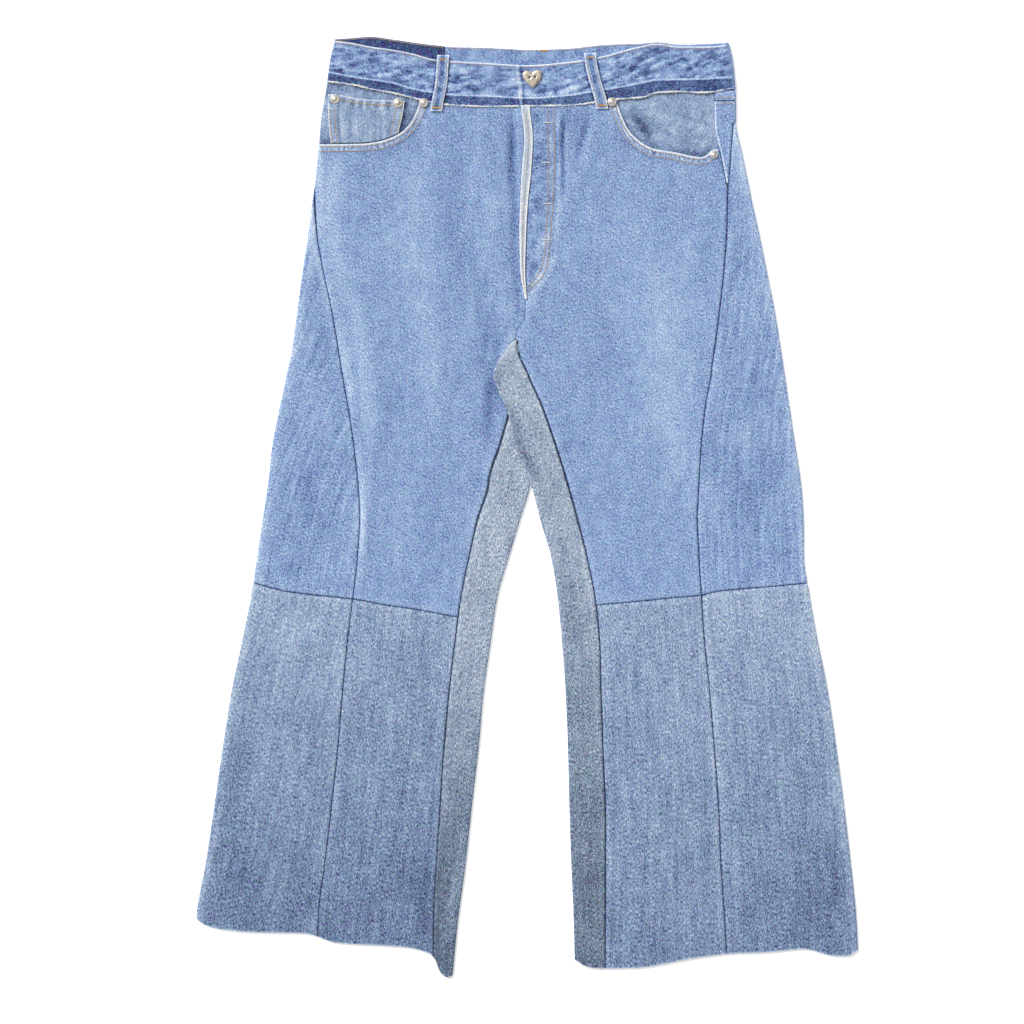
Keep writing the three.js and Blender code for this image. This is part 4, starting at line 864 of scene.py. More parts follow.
def with_worn_fold(tone, leg):
    """The cloth is rubbed paler along the fold at the leg's outer edge."""

    def worn(x, height):
        return tone(x, height) + FOLD_WEAR * (1 - smooth(np.abs(x - leg["outer"](height)), 2, 13))

    return worn


def outer_strip(name, leg, fold, material, slot, tone, lower, upper, length, sewn, worn=()):
    front = stops(round(120 / COLUMN), EDGE_STEPS, (0,))
    back = stops(12, (0,), EDGE_STEPS)
    columns = round_fold(fold, leg["side"], lambda height: -leg["sideBack"](height), front, back)
    points = grid_over(columns, fold.point, lower, upper, rows_for(length))
    return panel(name, points, slot, denims[material], with_worn_fold(tone, leg), sewn, worn=worn)


side_tone = by_height(((397, 0.5), (600, 0.49), (760, 0.5), (880, 0.56)))
SIDE_TOP_RIGHT, SIDE_TOP_LEFT = 862, 897
LOWER_TONES = {"right": (0.54, 0.45, 0.35), "left": (0.55, 0.45, 0.35)}
for side, leg, fold, top in (
    ("right", right, outer_right, SIDE_TOP_RIGHT), ("left", left, outer_left, SIDE_TOP_LEFT),
):
    outer_strip("side_" + side, leg, fold, "side", "denim_side", side_tone,
                knee, steady(top), 480, "first last lower upper")
    outer_strip("lower_outer_" + side, leg, fold, "low", "denim_lower_outer", down_to_hem(*LOWER_TONES[side]),
                hem, knee, 380, "first last upper", RAW_HEM)
report_panel("side_right", "side_left", "lower_outer_right", "lower_outer_left")

# %% [markdown]
# A long strip of faded denim runs up each inseam, round the inner fold. The left one crosses over the
# right leg at the crotch and ends in a point, where the two fronts and the fly meet.

# %% Inseam panels
INSEAM_TOP_RIGHT, INSEAM_TOP_LEFT = 656, 660
TIP_START, TIP_END, TIP_RISE = -25, -12, 9


def pointed(x):
    """The top of the left inseam panel, which ends in a point on the centre seam."""
    return INSEAM_TOP_LEFT + TIP_RISE * smooth(x, TIP_START, TIP_END)


def inner_strip(name, leg, fold, top, tone):
    front = stops(12, EDGE_STEPS, (0,))
    back = stops(5, (0,), EDGE_STEPS)
    columns = round_fold(fold, leg["inseam"], lambda height: -leg["inseamBack"](height), front, back)
    points = grid_over(columns, fold.point, hem, top, rows_for(650))
    return panel(name, points, "denim_inseam", denims["inseam"], tone, "first last upper", worn=RAW_HEM)


INSEAM_RIGHT_TONES = ((20, 0.28), (120, 0.33), (250, 0.48), (380, 0.59), (520, 0.6))
INSEAM_LEFT_TONES = ((20, 0.32), (150, 0.36), (300, 0.47), (430, 0.57), (560, 0.57), (650, 0.6))
inner_strip("inseam_right", right, inner_right, steady(INSEAM_TOP_RIGHT), by_height(INSEAM_RIGHT_TONES))
inner_strip("inseam_left", left, inner_left, pointed, by_height(INSEAM_LEFT_TONES))
report_panel("inseam_right", "inseam_left")

# %% [markdown]
# The fronts are the old jeans: a curved pocket mouth at the top with a stitched hem, the fly in the
# middle, and worn-in fades down the thighs. The pocket hem is raised, its edge is worn white, and
# the cloth puckers between its two rows of stitches.

# %% Distances to seams that curve
def path_of(*points):
    """A path through places, as evenly spaced points a millimetre apart."""
    path = np.array(points, float)
    steps = np.linalg.norm(np.diff(path, axis=0), axis=1)
    at = np.concatenate([[0], np.cumsum(steps)])
    places = np.linspace(0, at[-1], max(2, round(at[-1])))
    return np.stack([np.interp(places, at, path[:, i]) for i in range(path.shape[1])], axis=1)


def mouth_path(mouth, start, end):
    return path_of(*[(x, float(mouth(x))) for x in np.linspace(start, end, 90)])


def offset_path(path, distance):
    """A path beside another, to its left where the distance is positive."""
    way = np.gradient(path, axis=0)
    way /= np.linalg.norm(way, axis=1, keepdims=True)
    return path + distance * np.stack([-way[:, 1], way[:, 0]], axis=1)


def near(path, x, height, reach=30):
    """Distance from places to a path, and the distance along it of the nearest point."""
    shape = np.broadcast(x, height).shape
    flat = np.stack([np.broadcast_to(x, shape).ravel(), np.broadcast_to(height, shape).ravel()], axis=1)
    distance, along = np.full(len(flat), 99.0), np.zeros(len(flat))
    low, high = path.min(axis=0) - reach, path.max(axis=0) + reach
    inside = np.where(((flat > low) & (flat < high)).all(axis=1))[0]
    for chunk in np.array_split(inside, max(1, len(inside) // 4000)):
        if len(chunk):
            gaps = np.linalg.norm(flat[chunk, None, :] - path[None, :, :], axis=2)
            distance[chunk], along[chunk] = gaps.min(axis=1), gaps.argmin(axis=1)
    return distance.reshape(shape), along.reshape(shape)


mouth_line_right = mouth_path(mouth_right, -218, MOUTH_RIGHT[-1][0])
mouth_line_left = mouth_path(mouth_left, MOUTH_LEFT[0][0], MOUTH_LEFT[-1][0])
print("pocket mouths", len(mouth_line_right), "and", len(mouth_line_left), "mm long")

# %% Front panels
PUCKER = 5.2


def mouth_detail(line, seed):
    """Puckers of the hem between its rows of stitches."""
    beats = random.Random(seed)
    wobble = [beats.uniform(0, 6.28) for _ in range(3)]

    def pattern(x, height):
        distance, along = near(line, x, height)
        phase = along * 6.283 / PUCKER
        phase = phase + 1.6 * np.sin(along * 0.11 + wobble[0]) + 0.9 * np.sin(along * 0.31 + wobble[1])
        strength = 0.65 + 0.35 * np.sin(along * 0.19 + wobble[2])
        zone = smooth(distance, 1.4, 2.6) * (1 - smooth(distance, 5.6, 7.6))
        return distance, zone * strength * np.sin(phase)

    return pattern


puckers_right = mouth_detail(mouth_line_right, 3)
puckers_left = mouth_detail(mouth_line_left, 8)


def front_detail(pattern):
    def detail(x, height):
        return 0.35 * pattern(x, height)[1] * (height > 800) + 2.2 * fly_shadow_and_wear(x, height)

    return detail


def front_tone(pattern):
    def tone(x, height):
        distance, waves = pattern(x, height)
        white_edge = 0.5 * (1 - smooth(distance, 1, 2.2))
        pale_hem = 0.07 * (1 - smooth(distance, 7, 9))
        dark_line = -0.1 * bell(distance - 9.2, 1)
        return white_edge + 0.3 * waves + pale_hem + dark_line + fly_shadow_and_wear(x, height)

    return tone


strip_right, strip_left = curve(FLY_STRIP, 1), curve(FLY_STRIP, 2)
j_x = curve(sorted([(y, x) for x, y in J_INNER]))


def fly_shadow_and_wear(x, height):
    """Painted shadow in dark lines beside the fly's strip, the mottled cloth over its buttons, and painted
    shade of a soft fold beside the placket.
    """
    beside = x - strip_right(height)
    within = smooth(height, 712, 722) * (1 - smooth(height, 900, 908))
    # Painted shadow: dark lines beside both edges of the fly's strip
    crease = -0.2 * bell(beside - 1.6, 1.3) - 0.12 * bell(x - strip_left(height) + 1.2, 1)
    over_fly = smooth(beside, 0, 3) * (1 - smooth(x - j_x(height), 6, 9))
    mottled = 0.1 * crumple(x, height, 7, 4.5, 10, 41) + 0.07 * crumple(x, height, 3.5, 2.5, 0, 42) - 0.05
    rows = (0.08 + 0.1 * crumple(x, height, 3, 3.5, 0, 43)) * bell(x - j_x(height) - 2.8, 3.4)
    # A pale line along the placket, and beyond it painted shade of a soft fold
    placket = 0.1 * bell(x - j_x(height) - 11, 2)
    placket = placket - 0.16 * bell(x - j_x(height) - 15, 2.4) * smooth(height, 800, 830)
    return within * (crease + over_fly * mottled + rows + placket)


def rise_seam(x, height):
    """The centre seam's painted shade is fainter than the others', because it lies in a soft hollow."""
    return 1 - 0.75 * smooth(height, 655, 675) * (np.abs(x) < 40)


def tuck_line(x):
    return raw_edge(x) + BAND_TUCK


def right_inseam_x(height):
    return right["inner"](height) - right["inseam"](height)


CROTCH_EASE = 1
HIP_EASE = 1
SIDE_EASE = 0.15


def crotch_ease(height):
    return CROTCH_EASE * smooth(height, 440, 500)


def front_right_inner(height):
    beside = right_inseam_x(height) - crotch_ease(height)
    return outer_right.reach(np.where(height < INSEAM_TOP_RIGHT, beside, rise(height)), height)


def front_left_inner(height):
    beside = left_inseam_x(height) + crotch_ease(height)
    return outer_left.reach(np.where(height < INSEAM_TOP_LEFT + TIP_RISE, beside, rise(height)), height)


OUTSEAM_MEETS_SIDE = 826


def front_left_outer(height):
    return np.where(height < OUTSEAM_MEETS_SIDE, left["side"](height) + SIDE_EASE, OUTSEAM_REACH)


HIP_TURN = (770, 812)


def front_right_outer(height):
    return right["side"](height) + HIP_EASE * smooth(height, *HIP_TURN)


def hip_column(k, share):
    """A column that lies beside the side seam below the hip, and in the bend of the cloth above it."""

    def position(height):
        first = front_right_outer(height) + EDGE_STEPS[-1]
        turned = np.maximum(first + 0.2 * (k + 1), outer_right.quarter(height) * share)
        return lerp(first + 0.6 * (k + 1), turned, smooth(height, *HIP_TURN))

    return position


def past_the_bend(height):
    first = front_right_outer(height) + EDGE_STEPS[-1]
    turned = np.maximum(first + 1.6, outer_right.quarter(height) + 0.5)
    return lerp(first + 4.2, turned, smooth(height, *HIP_TURN))


def dense(*spans):
    """Shares of the way across, closer together where a panel has fine detail."""
    shares = []
    for start, end, count in spans:
        shares += list(np.linspace(start, end, count, endpoint=False))
    return shares + [1.0]


def front_rows(length):
    """Rows along a front, close together at the pocket hem."""
    part = length * 0.45
    shares = dense((0, 0.45, round(part / ROW)), (0.45, 0.9, round(part / 2.3)), (0.9, 1, 22))
    hem_steps = (0, 0.5, 1, 1.7, 2.4, 3.1, 3.8, 4.5, 5.2, 6, 7, 8.2)
    return stops(0, EDGE_STEPS, hem_steps, shares)


def upper_of(mouth):
    return lambda x: np.minimum(mouth(x), tuck_line(x))


right_lines = stops(0, (0,), EDGE_STEPS, dense((0, 0.5, 48), (0.5, 1, 64)))
right_columns = between(front_right_outer, front_right_inner, stops(0, EDGE_STEPS, (0,)))[:-1]
right_columns += [hip_column(k, share) for k, share in enumerate(reversed(BEND_SHARES))]
right_columns += between(past_the_bend, front_right_inner, right_lines)
left_lines = stops(0, EDGE_STEPS, EDGE_STEPS, dense((0, 0.5, 68), (0.5, 1, 44)))
left_columns = between(front_left_inner, front_left_outer, left_lines)

front_grids = {
    "front_right": grid_over(right_columns, outer_right.point, knee, upper_of(mouth_right), front_rows(540)),
    "front_left": grid_over(left_columns, outer_left.point, knee, upper_of(mouth_left), front_rows(540)),
}
for name, pattern in (("front_right", puckers_right), ("front_left", puckers_left)):
    panel(name, front_grids[name], "denim_front", denims["front"], 0.5, "first last lower", grain="x",
          detail=front_detail(pattern), extra_tone=front_tone(pattern), seam_share=rise_seam)
report_panel("front_right", "front_left")

# %% [markdown]
# Below the knee the inner panels lie flat between the outer panels and the inseams.

# %% Inner lower legs
def lower_inner(name, leg, fold, inside_x, tone):
    def inner(height):
        return fold.reach(inside_x(height), height)

    ends = (inner, leg["side"]) if fold.outward > 0 else (leg["side"], inner)
    columns = between(*ends, stops(round(140 / COLUMN)))
    points = grid_over(columns, fold.point, hem, knee, rows_for(375))
    return panel(name, points, "denim_lower_inner", denims["low"], tone, "first last upper", worn=RAW_HEM)


lower_inner("lower_inner_right", right, outer_right, right_inseam_x, down_to_hem(0.51, 0.43, 0.31))
lower_inner("lower_inner_left", left, outer_left, left_inseam_x, down_to_hem(0.51, 0.48, 0.39))
report_panel("lower_inner_right", "lower_inner_left")

# %% [markdown]
# The backs lie face down on the table. Nothing in the picture shows them, so they have only what
# every such pair must have: two backs, two yokes and the centre seam.

# %% Backs and yokes
YOKE_CENTRE, YOKE_SIDE, YOKE_HALF_WIDTH = 872, 919.5, 190
BAND_EDGE_RIGHT, BAND_EDGE_LEFT, WAIST_HALF_WIDTH = 940, 931, 212
BACK_EASE, INNER_BACK_EASE = 0.3, 1.4
BACK_CLOSES = (498, 528)
BACK_CENTRE = (657, 692)
BACK_SPACING = 9


def yoke_seam(x):
    return lerp(YOKE_CENTRE, YOKE_SIDE, np.minimum(1, np.abs(x) / YOKE_HALF_WIDTH))


def band_edge_back(x):
    return lerp(BAND_EDGE_RIGHT, BAND_EDGE_LEFT, (x + WAIST_HALF_WIDTH) / (2 * WAIST_HALF_WIDTH))


def back_x(fold, distance, ease):
    return lambda height: fold.point(-(distance(height) + ease), height)[0]


side_back_right = back_x(outer_right, right["sideBack"], BACK_EASE)
side_back_left = back_x(outer_left, left["sideBack"], BACK_EASE)
inseam_back_right = back_x(inner_right, right["inseamBack"], INNER_BACK_EASE)
inseam_back_left = back_x(inner_left, left["inseamBack"], INNER_BACK_EASE)


def back_inner_left(height):
    apart = inseam_back_left(np.minimum(height, BACK_CLOSES[0]))
    beside = right["inner"](np.minimum(height, BACK_CENTRE[0])) + 2 * SEAM_GAP
    return lerp(apart, beside, smooth(height, *BACK_CLOSES)) * (1 - smooth(height, *BACK_CENTRE))


def back_inner_right(height):
    return inseam_back_right(np.minimum(height, BACK_CENTRE[0])) * (1 - smooth(height, *BACK_CENTRE))


def back_panel(name, start, end, lower, upper, slot, material, tone, length,
               sewn="first last lower upper", worn=()):
    columns = between(start, end, stops(20))
    points = grid_over(columns, flat_at(BACK_LEVEL), lower, upper, rows_for(length, BACK_SPACING))
    return panel(name, points, slot, denims[material], tone, sewn, face_down=True, worn=worn)


BACKS = {"right": (side_back_right, back_inner_right), "left": (back_inner_left, side_back_left)}
for side, ends in BACKS.items():
    back_panel("back_" + side, *ends, knee, yoke_seam, "denim_back", "front", 0.53, 520)
    back_panel("lower_back_" + side, *ends, hem, knee, "denim_lower_inner", "low",
               down_to_hem(0.54, 0.48, 0.4), 370, "first last upper", RAW_HEM)
back_panel("yoke_right", side_back_right, steady(0), yoke_seam, band_edge_back, "denim_back",
           "front", 0.52, 60)
report_panel("back_right", "back_left", "lower_back_right", "lower_back_left", "yoke_right")

# %% [markdown]
# On the wearer's left the outseam lies on the front, so the left yoke and a narrow edge of the left
# back wrap round to it. That edge is cut off from the rest of the back by the side panel.

# %% Left yoke and the back's front edge
outseam_reach = steady(OUTSEAM_REACH)
yoke_columns = round_fold(
    outer_left, outseam_reach, lambda height: outer_left.back_reach(0, height),
    stops(8, EDGE_STEPS, (0,)), stops(24, (0,), EDGE_STEPS),
)
yoke_points = grid_over(yoke_columns, outer_left.point, yoke_seam, band_edge_back, rows_for(60, 5))
panel("yoke_left", yoke_points, "denim_back", denims["front"], 0.52)

EDGE_LOW, EDGE_TOP, EDGE_WRAP, EDGE_BACK = 833, 919, 897.8, -2.6


def back_edge_outer(height):
    return np.where(height < EDGE_WRAP, left["side"](height), EDGE_BACK)


edge_lines = stops(0, (0, 0.35, 0.8), (0,), np.linspace(0, 1, 17))
edge_points = grid_over(
    between(outseam_reach, back_edge_outer, edge_lines), outer_left.point,
    steady(EDGE_LOW - HALF_GAP), steady(EDGE_TOP + HALF_GAP), rows_for(86, 2.6, (0,), (0,)),
)
panel("back_edge_left", edge_points, "denim_back", denims["front"], 0.5, "first last",
      worn=(("first", 2.4, 0.55),))
report_panel("yoke_left", "back_edge_left")

# %% [markdown]
# Behind each open pocket mouth lies a facing of better cloth, so the white pocket bag doesn't show.
# The right facing carries the small coin pocket, with its own hem, stitches and puckers.

# %% Facings and the coin pocket
FACING_SHIFT = 8
FACING_WRAP = -5
FACING_RIGHT_END, FACING_LEFT_START, FACING_LAP = -103, 86, 2


def facing_upper(x):
    return np.minimum(tuck_line(x), band_edge_back(x)) - SEAM_GAP


def facing_right_lower(x):
    shift = FACING_SHIFT * smooth(x, -204, -190)
    return mouth_right(x - shift) - FACING_TUCK * smooth(x, -211, -203)


facing_columns = round_fold(
    facing_fold, lambda height: facing_fold.reach(FACING_RIGHT_END, height),
    steady(FACING_WRAP), stops(50, (0,), (0,)), stops(2, (0,), (0,)),
)
facing_points = grid_over(facing_columns, facing_fold.point, facing_right_lower, facing_upper,
                          rows_for(70, 2.2, (0,), (0,)))


def facing_crumples(x, height, large, small):
    """Crumples of the facings, mostly slanting."""
    return large * crumple(x, height, 16, 4, -22, 5) + small * crumple(x, height, 7, 3, 12, 6)


def facing_relief(x, height):
    return facing_crumples(x, height, 0.35, 0.2)


def facing_tone_and_shadow(x, height):
    """Crumples, with painted shadow beside the coin pocket and under the edge of the mouth."""
    streaks = facing_crumples(x, height, 0.08, 0.05)
    mouth = np.where(x < 0, mouth_right(x), mouth_left(x))
    # Painted shadow under the edge of the mouth and beside the coin pocket's inner edge
    under = -0.2 * (1 - smooth(height - mouth, 1, 9))
    pocket = -0.3 * bell(x - coin_inner(height) - 1.5, 3) * (height > 850)
    return streaks + under + pocket


coin_outer, coin_inner, coin_top = curve(COIN_POCKET, 1), curve(COIN_POCKET, 2), curve(COIN_TOP)
FACING_LOOKS = {"detail": facing_relief, "extra_tone": facing_tone_and_shadow}
panel("facing_right", facing_points, "denim_pocket", denims["pocket"], 0.47, "", **FACING_LOOKS)

facing_left_columns = between(
    steady(FACING_LEFT_START),
    lambda height: left["outer"](height) - OUTSEAM_REACH + FACING_LAP, stops(54, (0,), (0,)),
)
facing_left_points = grid_over(
    facing_left_columns, flat_at(FACING_LEVEL),
    lambda x: mouth_left(x + FACING_SHIFT) - FACING_TUCK, facing_upper, rows_for(75, 2.2, (0,), (0,)),
)
panel("facing_left", facing_left_points, "denim_pocket", denims["pocket"], 0.52, "", **FACING_LOOKS)

coin_points = grid_over(
    between(coin_outer, coin_inner, stops(64, (0, 0.5), (0, 0.5))),
    flat_at(FRONT_LEVEL),
    lambda x: mouth_right(x) + 1, coin_top, rows_for(50, 1.3, (0,), (0, 0.5, 1)),
)


def puckers(x, height):
    """Gathers under the coin pocket's hem: upright, uneven, and gone 14 mm below it."""
    below = coin_top(x) - height
    wave = np.sin(x * 0.62 + 1.5 * np.sin(x * 0.11) + 0.6 * np.sin(height * 0.25))
    return wave * smooth(below, 0.5, 3) * (1 - smooth(below, 6, 15))


def coin_detail(x, height):
    below = coin_top(x) - height
    beside = np.minimum(x - coin_outer(height), coin_inner(height) - x)
    hems = 0.3 * (1 - smooth(below, 6, 8)) + 0.35 * (1 - smooth(beside, 8.5, 10))
    return hems + 0.45 * puckers(x, height)


def coin_tone(x, height):
    beside = np.minimum(x - coin_outer(height), coin_inner(height) - x)
    fading = 0.09 * crumple(x, height, 3.2, 26, 0, 9) * smooth(beside, 8, 12)
    # Painted shade in the hollow beside the raised side hems
    hollow = -0.16 * bell(beside - 10.5, 1.3)
    return fading + hollow + 0.15 * puckers(x, height)


panel("coin_pocket", coin_points, "denim_pocket", denims["pocket"], 0.55, "", detail=coin_detail,
      extra_tone=coin_tone, worn=(("upper", 1.6, 0.3), ("first", 1.5, 0.3), ("last", 1.5, 0.3)))
report_panel("facing_right", "facing_left", "coin_pocket")

# %% [markdown]
# The waistband is two layers of denim. It was unpicked and sewn on again, so its lower edge is raw:
# one layer hangs down below the old crease line, dark where it was never washed, with white weft
# threads along its edge. The top fold is worn white. The grid is the outer face, and the thickness
# goes inwards, less of it where there is one layer.

# %% Waistbands
# height, x, level of the middle of the strap
LOOP_RIGHT = (
    (908.5, -95.5, 5.6), (913, -95, 6.2), (916, -94.5, 7), (940, -90, 7), (955, -89, 7),
    (963.4, -88.5, 7), (966.8, -88, 5.8),
)
LOOP_LEFT = (
    (911, 78.5, 5.6), (914.5, 78, 6.2), (917.5, 77.5, 7), (942, 70.5, 7), (957, 67, 7),
    (965.6, 66, 7), (969, 66, 5.8),
)
LOOP_WIDTH, LOOP_CLOTH = 12, 2
BAND_TIP, BAND_SIDE_SEAM, INSERT_END = 0.6, 3.1, -86
ONE_LAYER = 0.19
band_end = curve(BAND_END)
crease_line = curve(OLD_CREASE)


def band_reach(fold):
    return lambda height: fold.reach(band_end(height), height)


def band_creases(x, height):
    """Uneven streaks: nearly level on the right half, rising to the wearer's left on the left half."""
    level = crumple(x, height, 12, 2.4, 6, 21)
    rising = crumple(x, height, 10, 2.6, 24, 22)
    small = crumple(x, height, 4, 2, -14, 23)
    return lerp(level, rising, smooth(x, -60, 90)) + 0.5 * small


def band_zone(x, height):
    above = height - crease_line(x)
    return smooth(above, 0.5, 3) * smooth(front_top(x) - height, 2, 5)


def band_wear_and_shadow(x, height):
    """The dark strip below the old crease, the pale crease and the white top fold, with painted shadow beside
    the belt loops and at the band's end.
    """
    above = height - crease_line(x)
    to_edge = height - raw_edge(x)
    to_top = front_top(x) - height
    ragged = 0.6 * np.sin(x * 0.9) * np.sin(x * 0.23 + 1)
    strip = smooth(-above, 0.2, 1.4) * smooth(to_edge + ragged, 0.6, 1.6)
    tone = (-0.27 + 0.09 * crumple(x, height, 3, 1.6, 0, 31)) * strip
    tone = tone + 0.32 * (1 - smooth(np.abs(above - 0.4), 0.4, 1.3))
    tone = tone + 0.35 * (1 - smooth(to_edge + ragged, 0.3, 1.8))
    blotches = crumple(x, height, 5, 9, 0, 24)
    tone = tone + 0.16 * blotches * (1 - smooth(np.abs(above - 5), 2, 5))
    tone = tone + 0.27 * band_creases(x, height) * band_zone(x, height)
    tone = tone + 0.07 * bell(x - 10, 85) - 0.04
    # Painted shadow along both sides of each belt loop
    for rows in (LOOP_RIGHT, LOOP_LEFT):
        beside = np.abs(x - curve(rows, 1)(height)) - LOOP_WIDTH / 2
        tone = tone - 0.3 * (1 - smooth(np.abs(beside - 0.6), 0.8, 2.2))
    # The band's end: a worn pale edge, and painted shade in the recess just beyond it
    tone = tone + 0.4 * bell(x - band_end(height), 1.1) - 0.3 * bell(x - band_end(height) - 3.5, 1.6)
    side_seam = 0.35 * bell(left["outer"](height) - x - 2.5, 1.6)
    tone = tone + side_seam * (0.6 + 0.6 * crumple(x, height, 3, 2.4, 0, 25))
    return tone + 0.5 * (1 - smooth(to_top, 0.8, 2.1))


def band_relief(x, height):
    above = height - crease_line(x)
    to_top = front_top(x) - height
    fold = -0.5 * (1 - smooth(to_top, 0, 1.6))
    crease = 0.35 * bell(above - 0.2, 0.8) - 0.35 * (1 - smooth(above, -2.2, -0.8))
    return fold + crease + 0.55 * band_creases(x, height) * band_zone(x, height)


def band(name, columns, fold, lower, upper, rows, slot, tone, **options):
    """A waistband of two layers, from its outer face inwards."""
    middle = grid_over(columns, fold.point, lower, upper, rows)
    face = middle + normals_of(middle) * (BAND_CLOTH / 2)
    panel(name, face, slot, denims["band"], tone, "", grain="x", thickness=BAND_CLOTH,
          inner=denims["band"], **options)
    piece = panels[name][0]
    piece.modifiers["thickness"].offset = -1
    return piece


def front_band(name, columns, fold):
    """A front waistband, whose lowest part is one layer only."""
    piece = band(name, columns, fold, raw_edge, front_top, band_rows, "denim_band", 0.46,
                 detail=band_relief, extra_tone=band_wear_and_shadow)
    layers = piece.vertex_groups.new(name="two_layers")
    grid_rows = grid_places[name][:, 0]
    double = np.array([row[0] for row in band_rows])[grid_rows] >= ONE_LAYER
    layers.add(np.where(double)[0].tolist(), 1.0, "REPLACE")
    wall = piece.modifiers["thickness"]
    wall.vertex_group = layers.name
    wall.thickness_vertex_group = 0.5


def back_band(name, columns, fold, slot, tone):
    band(name, columns, fold, band_edge_back, back_top, back_rows, slot, tone, worn=(("upper", 1.6, 0.2),))


band_shares = dense((0, 0.16, 7), (0.16, 0.34, 9), (0.34, 1, 20))
band_rows = stops(0, (0, 0.5, 1), (0, 0.4, 0.8, 1.6), band_shares)
waist_right = between(steady(BAND_TIP), band_reach(band_fold_right),
                      stops(150, (0, 0.3, 0.6, 1.2, 2), (0, 0.4, 0.8, 1.6)))
front_band("waistband_right", waist_right, band_fold_right)
waist_left = between(band_reach(band_fold_left), steady(BAND_SIDE_SEAM),
                     stops(160, (0, 0.4, 0.8, 1.6), (0, 0.4, 0.8, 1.6)))
front_band("waistband_left", waist_left, band_fold_left)

back_rows = stops(8, (0, 0.8, 1.8), (0, 0.4, 0.9, 1.8))
insert_columns = round_fold(
    band_fold_right, steady(-BAND_TIP),
    lambda height: band_fold_right.back_reach(INSERT_END, height),
    stops(1, (0,), (0,)), stops(26, (0,), (0, 0.6, 1.4)),
)
back_columns = round_fold(
    band_fold_left, steady(BAND_SIDE_SEAM),
    lambda height: band_fold_left.back_reach(INSERT_END, height),
    stops(2, (0, 0.5, 1), (0,)), stops(70, (0,), (0, 0.6, 1.4)),
)
back_band("waistband_back_insert", insert_columns, band_fold_right, "denim_dark", 0.08)
back_band("waistband_back", back_columns, band_fold_left, "denim_band", 0.47)
report_panel("waistband_right", "waistband_left", "waistband_back")

# %% [markdown]
# The folded edge of the fly shows as a narrow pale strip, worn nearly white. The belt loops are
# folded three times and sewn with two rows, so their edges stand up as two small ridges.

# %% Fly strip and belt loops
FLY_BOTTOM, FLY_LIFT = FLY_STRIP[0][0], 0.3
strip_columns = between(strip_left, strip_right, stops(7, (0, 0.3, 0.8), (0, 0.3, 0.8)))
strip_points = grid_over(
    strip_columns, lambda x, height: (x, LAP_LEVEL + FLY_LIFT + fold_rise(x, height)),
    steady(FLY_BOTTOM), raw_edge, rows_for(205, 1.6, (0,), (0,)),
)


def fly_middle(height):
    return (strip_left(height) + strip_right(height)) / 2


def strip_beat(height):
    """The small puckers along the strip, one for each stitch or two."""
    return np.sin(height * 1.1 + 2 * np.sin(height * 0.2))


def strip_form(x, height):
    return 0.12 * strip_beat(height) - 0.25 * bell(x - fly_middle(height), 1.1)


def strip_wear(x, height):
    return 0.07 * strip_beat(height) + 0.05 * np.sin(height * 0.37)


panel("fly_strip", strip_points, "denim_pale", denims["pocket"], 0.61, "", detail=strip_form,
      extra_tone=strip_wear, worn=(("first", 2, 0.3), ("last", 1.8, 0.3)))


def belt_loop(name, rows):
    """A strap whose two folded edges stand up beside its rows of stitches."""
    middle, level = curve(rows, 1), curve(rows, 2)

    def edge(sign):
        return lambda height: middle(height) + sign * (LOOP_WIDTH / 2 + HALF_GAP)

    def relief(x, height):
        beside = np.abs(x - middle(height))
        return 0.4 * smooth(beside, 2, 3.2) - 0.45 * smooth(beside, 5, 6) - 0.2 * bell(beside - 4.1, 0.6)

    def wear(x, height):
        beside = np.abs(x - middle(height))
        patches = 0.5 + 0.5 * np.sin(height * 0.55 + 1.7 * np.sin(height * 0.13 + x * 0.1))
        dark_middle = (0.06 + 0.16 * patches) * (1 - smooth(beside, 1.6, 2.8))
        return 0.3 * smooth(beside, 4.2, 5.4) + 0.1 * smooth(beside, 2, 3) - dark_middle

    bottom, top = rows[0][0], rows[-1][0]
    points = grid_over(
        between(edge(-1), edge(1), stops(16, (0, 0.3, 0.7), (0, 0.3, 0.7))),
        lambda x, height: (x, level(height) + 0 * x), steady(bottom - HALF_GAP), steady(top + HALF_GAP),
        rows_for(top - bottom, 1.2, (0, 0.4), (0, 0.4)),
    )
    worn = (("lower", 1.6, 0.4), ("upper", 1.6, 0.4))
    panel(name, points, "denim_band", denims["band"], 0.46, "", detail=relief, extra_tone=wear,
          thickness=LOOP_CLOTH, worn=worn)


belt_loop("belt_loop_right", LOOP_RIGHT)
belt_loop("belt_loop_left", LOOP_LEFT)
report_panel("fly_strip", "belt_loop_right", "belt_loop_left")

# %% [markdown]
# The metal is worn, so its raised places are bright and its hollows brown. Noise and the slope of
# the surface mix the two colours. The rivets are turned shapes: a short profile, spun right round.

# %% Metal
def worn_metal(name, bright, dull, size):
    s = Shader(name, Metallic=0.85, Roughness=0.42)
    place = s.node("TexCoord").outputs["Object"]
    patches = s.node("TexNoise", {"Vector": place, "Scale": 1 / (size * MM), "Detail": 5, "Roughness": 0.65})
    raised = s.node("NewGeometry").outputs["Pointiness"]
    value = s.sum(patches.outputs["Fac"], 1.1, -0.05)
    value = s.sum(raised, 1.0, s.sum(value, 1, -0.5))
    colour = s.ramp(value, ((0.2, dull), (0.62, bright), (1.0, bright)))
    rough = s.node("MapRange", {"Value": patches.outputs["Fac"], "To Min": 0.5, "To Max": 0.3})
    bump = s.node("Bump", {"Height": patches.outputs["Fac"], "Strength": 0.3, "Distance": 0.0002})
    return s.paint(colour, bump.outputs[0], rough.outputs[0])


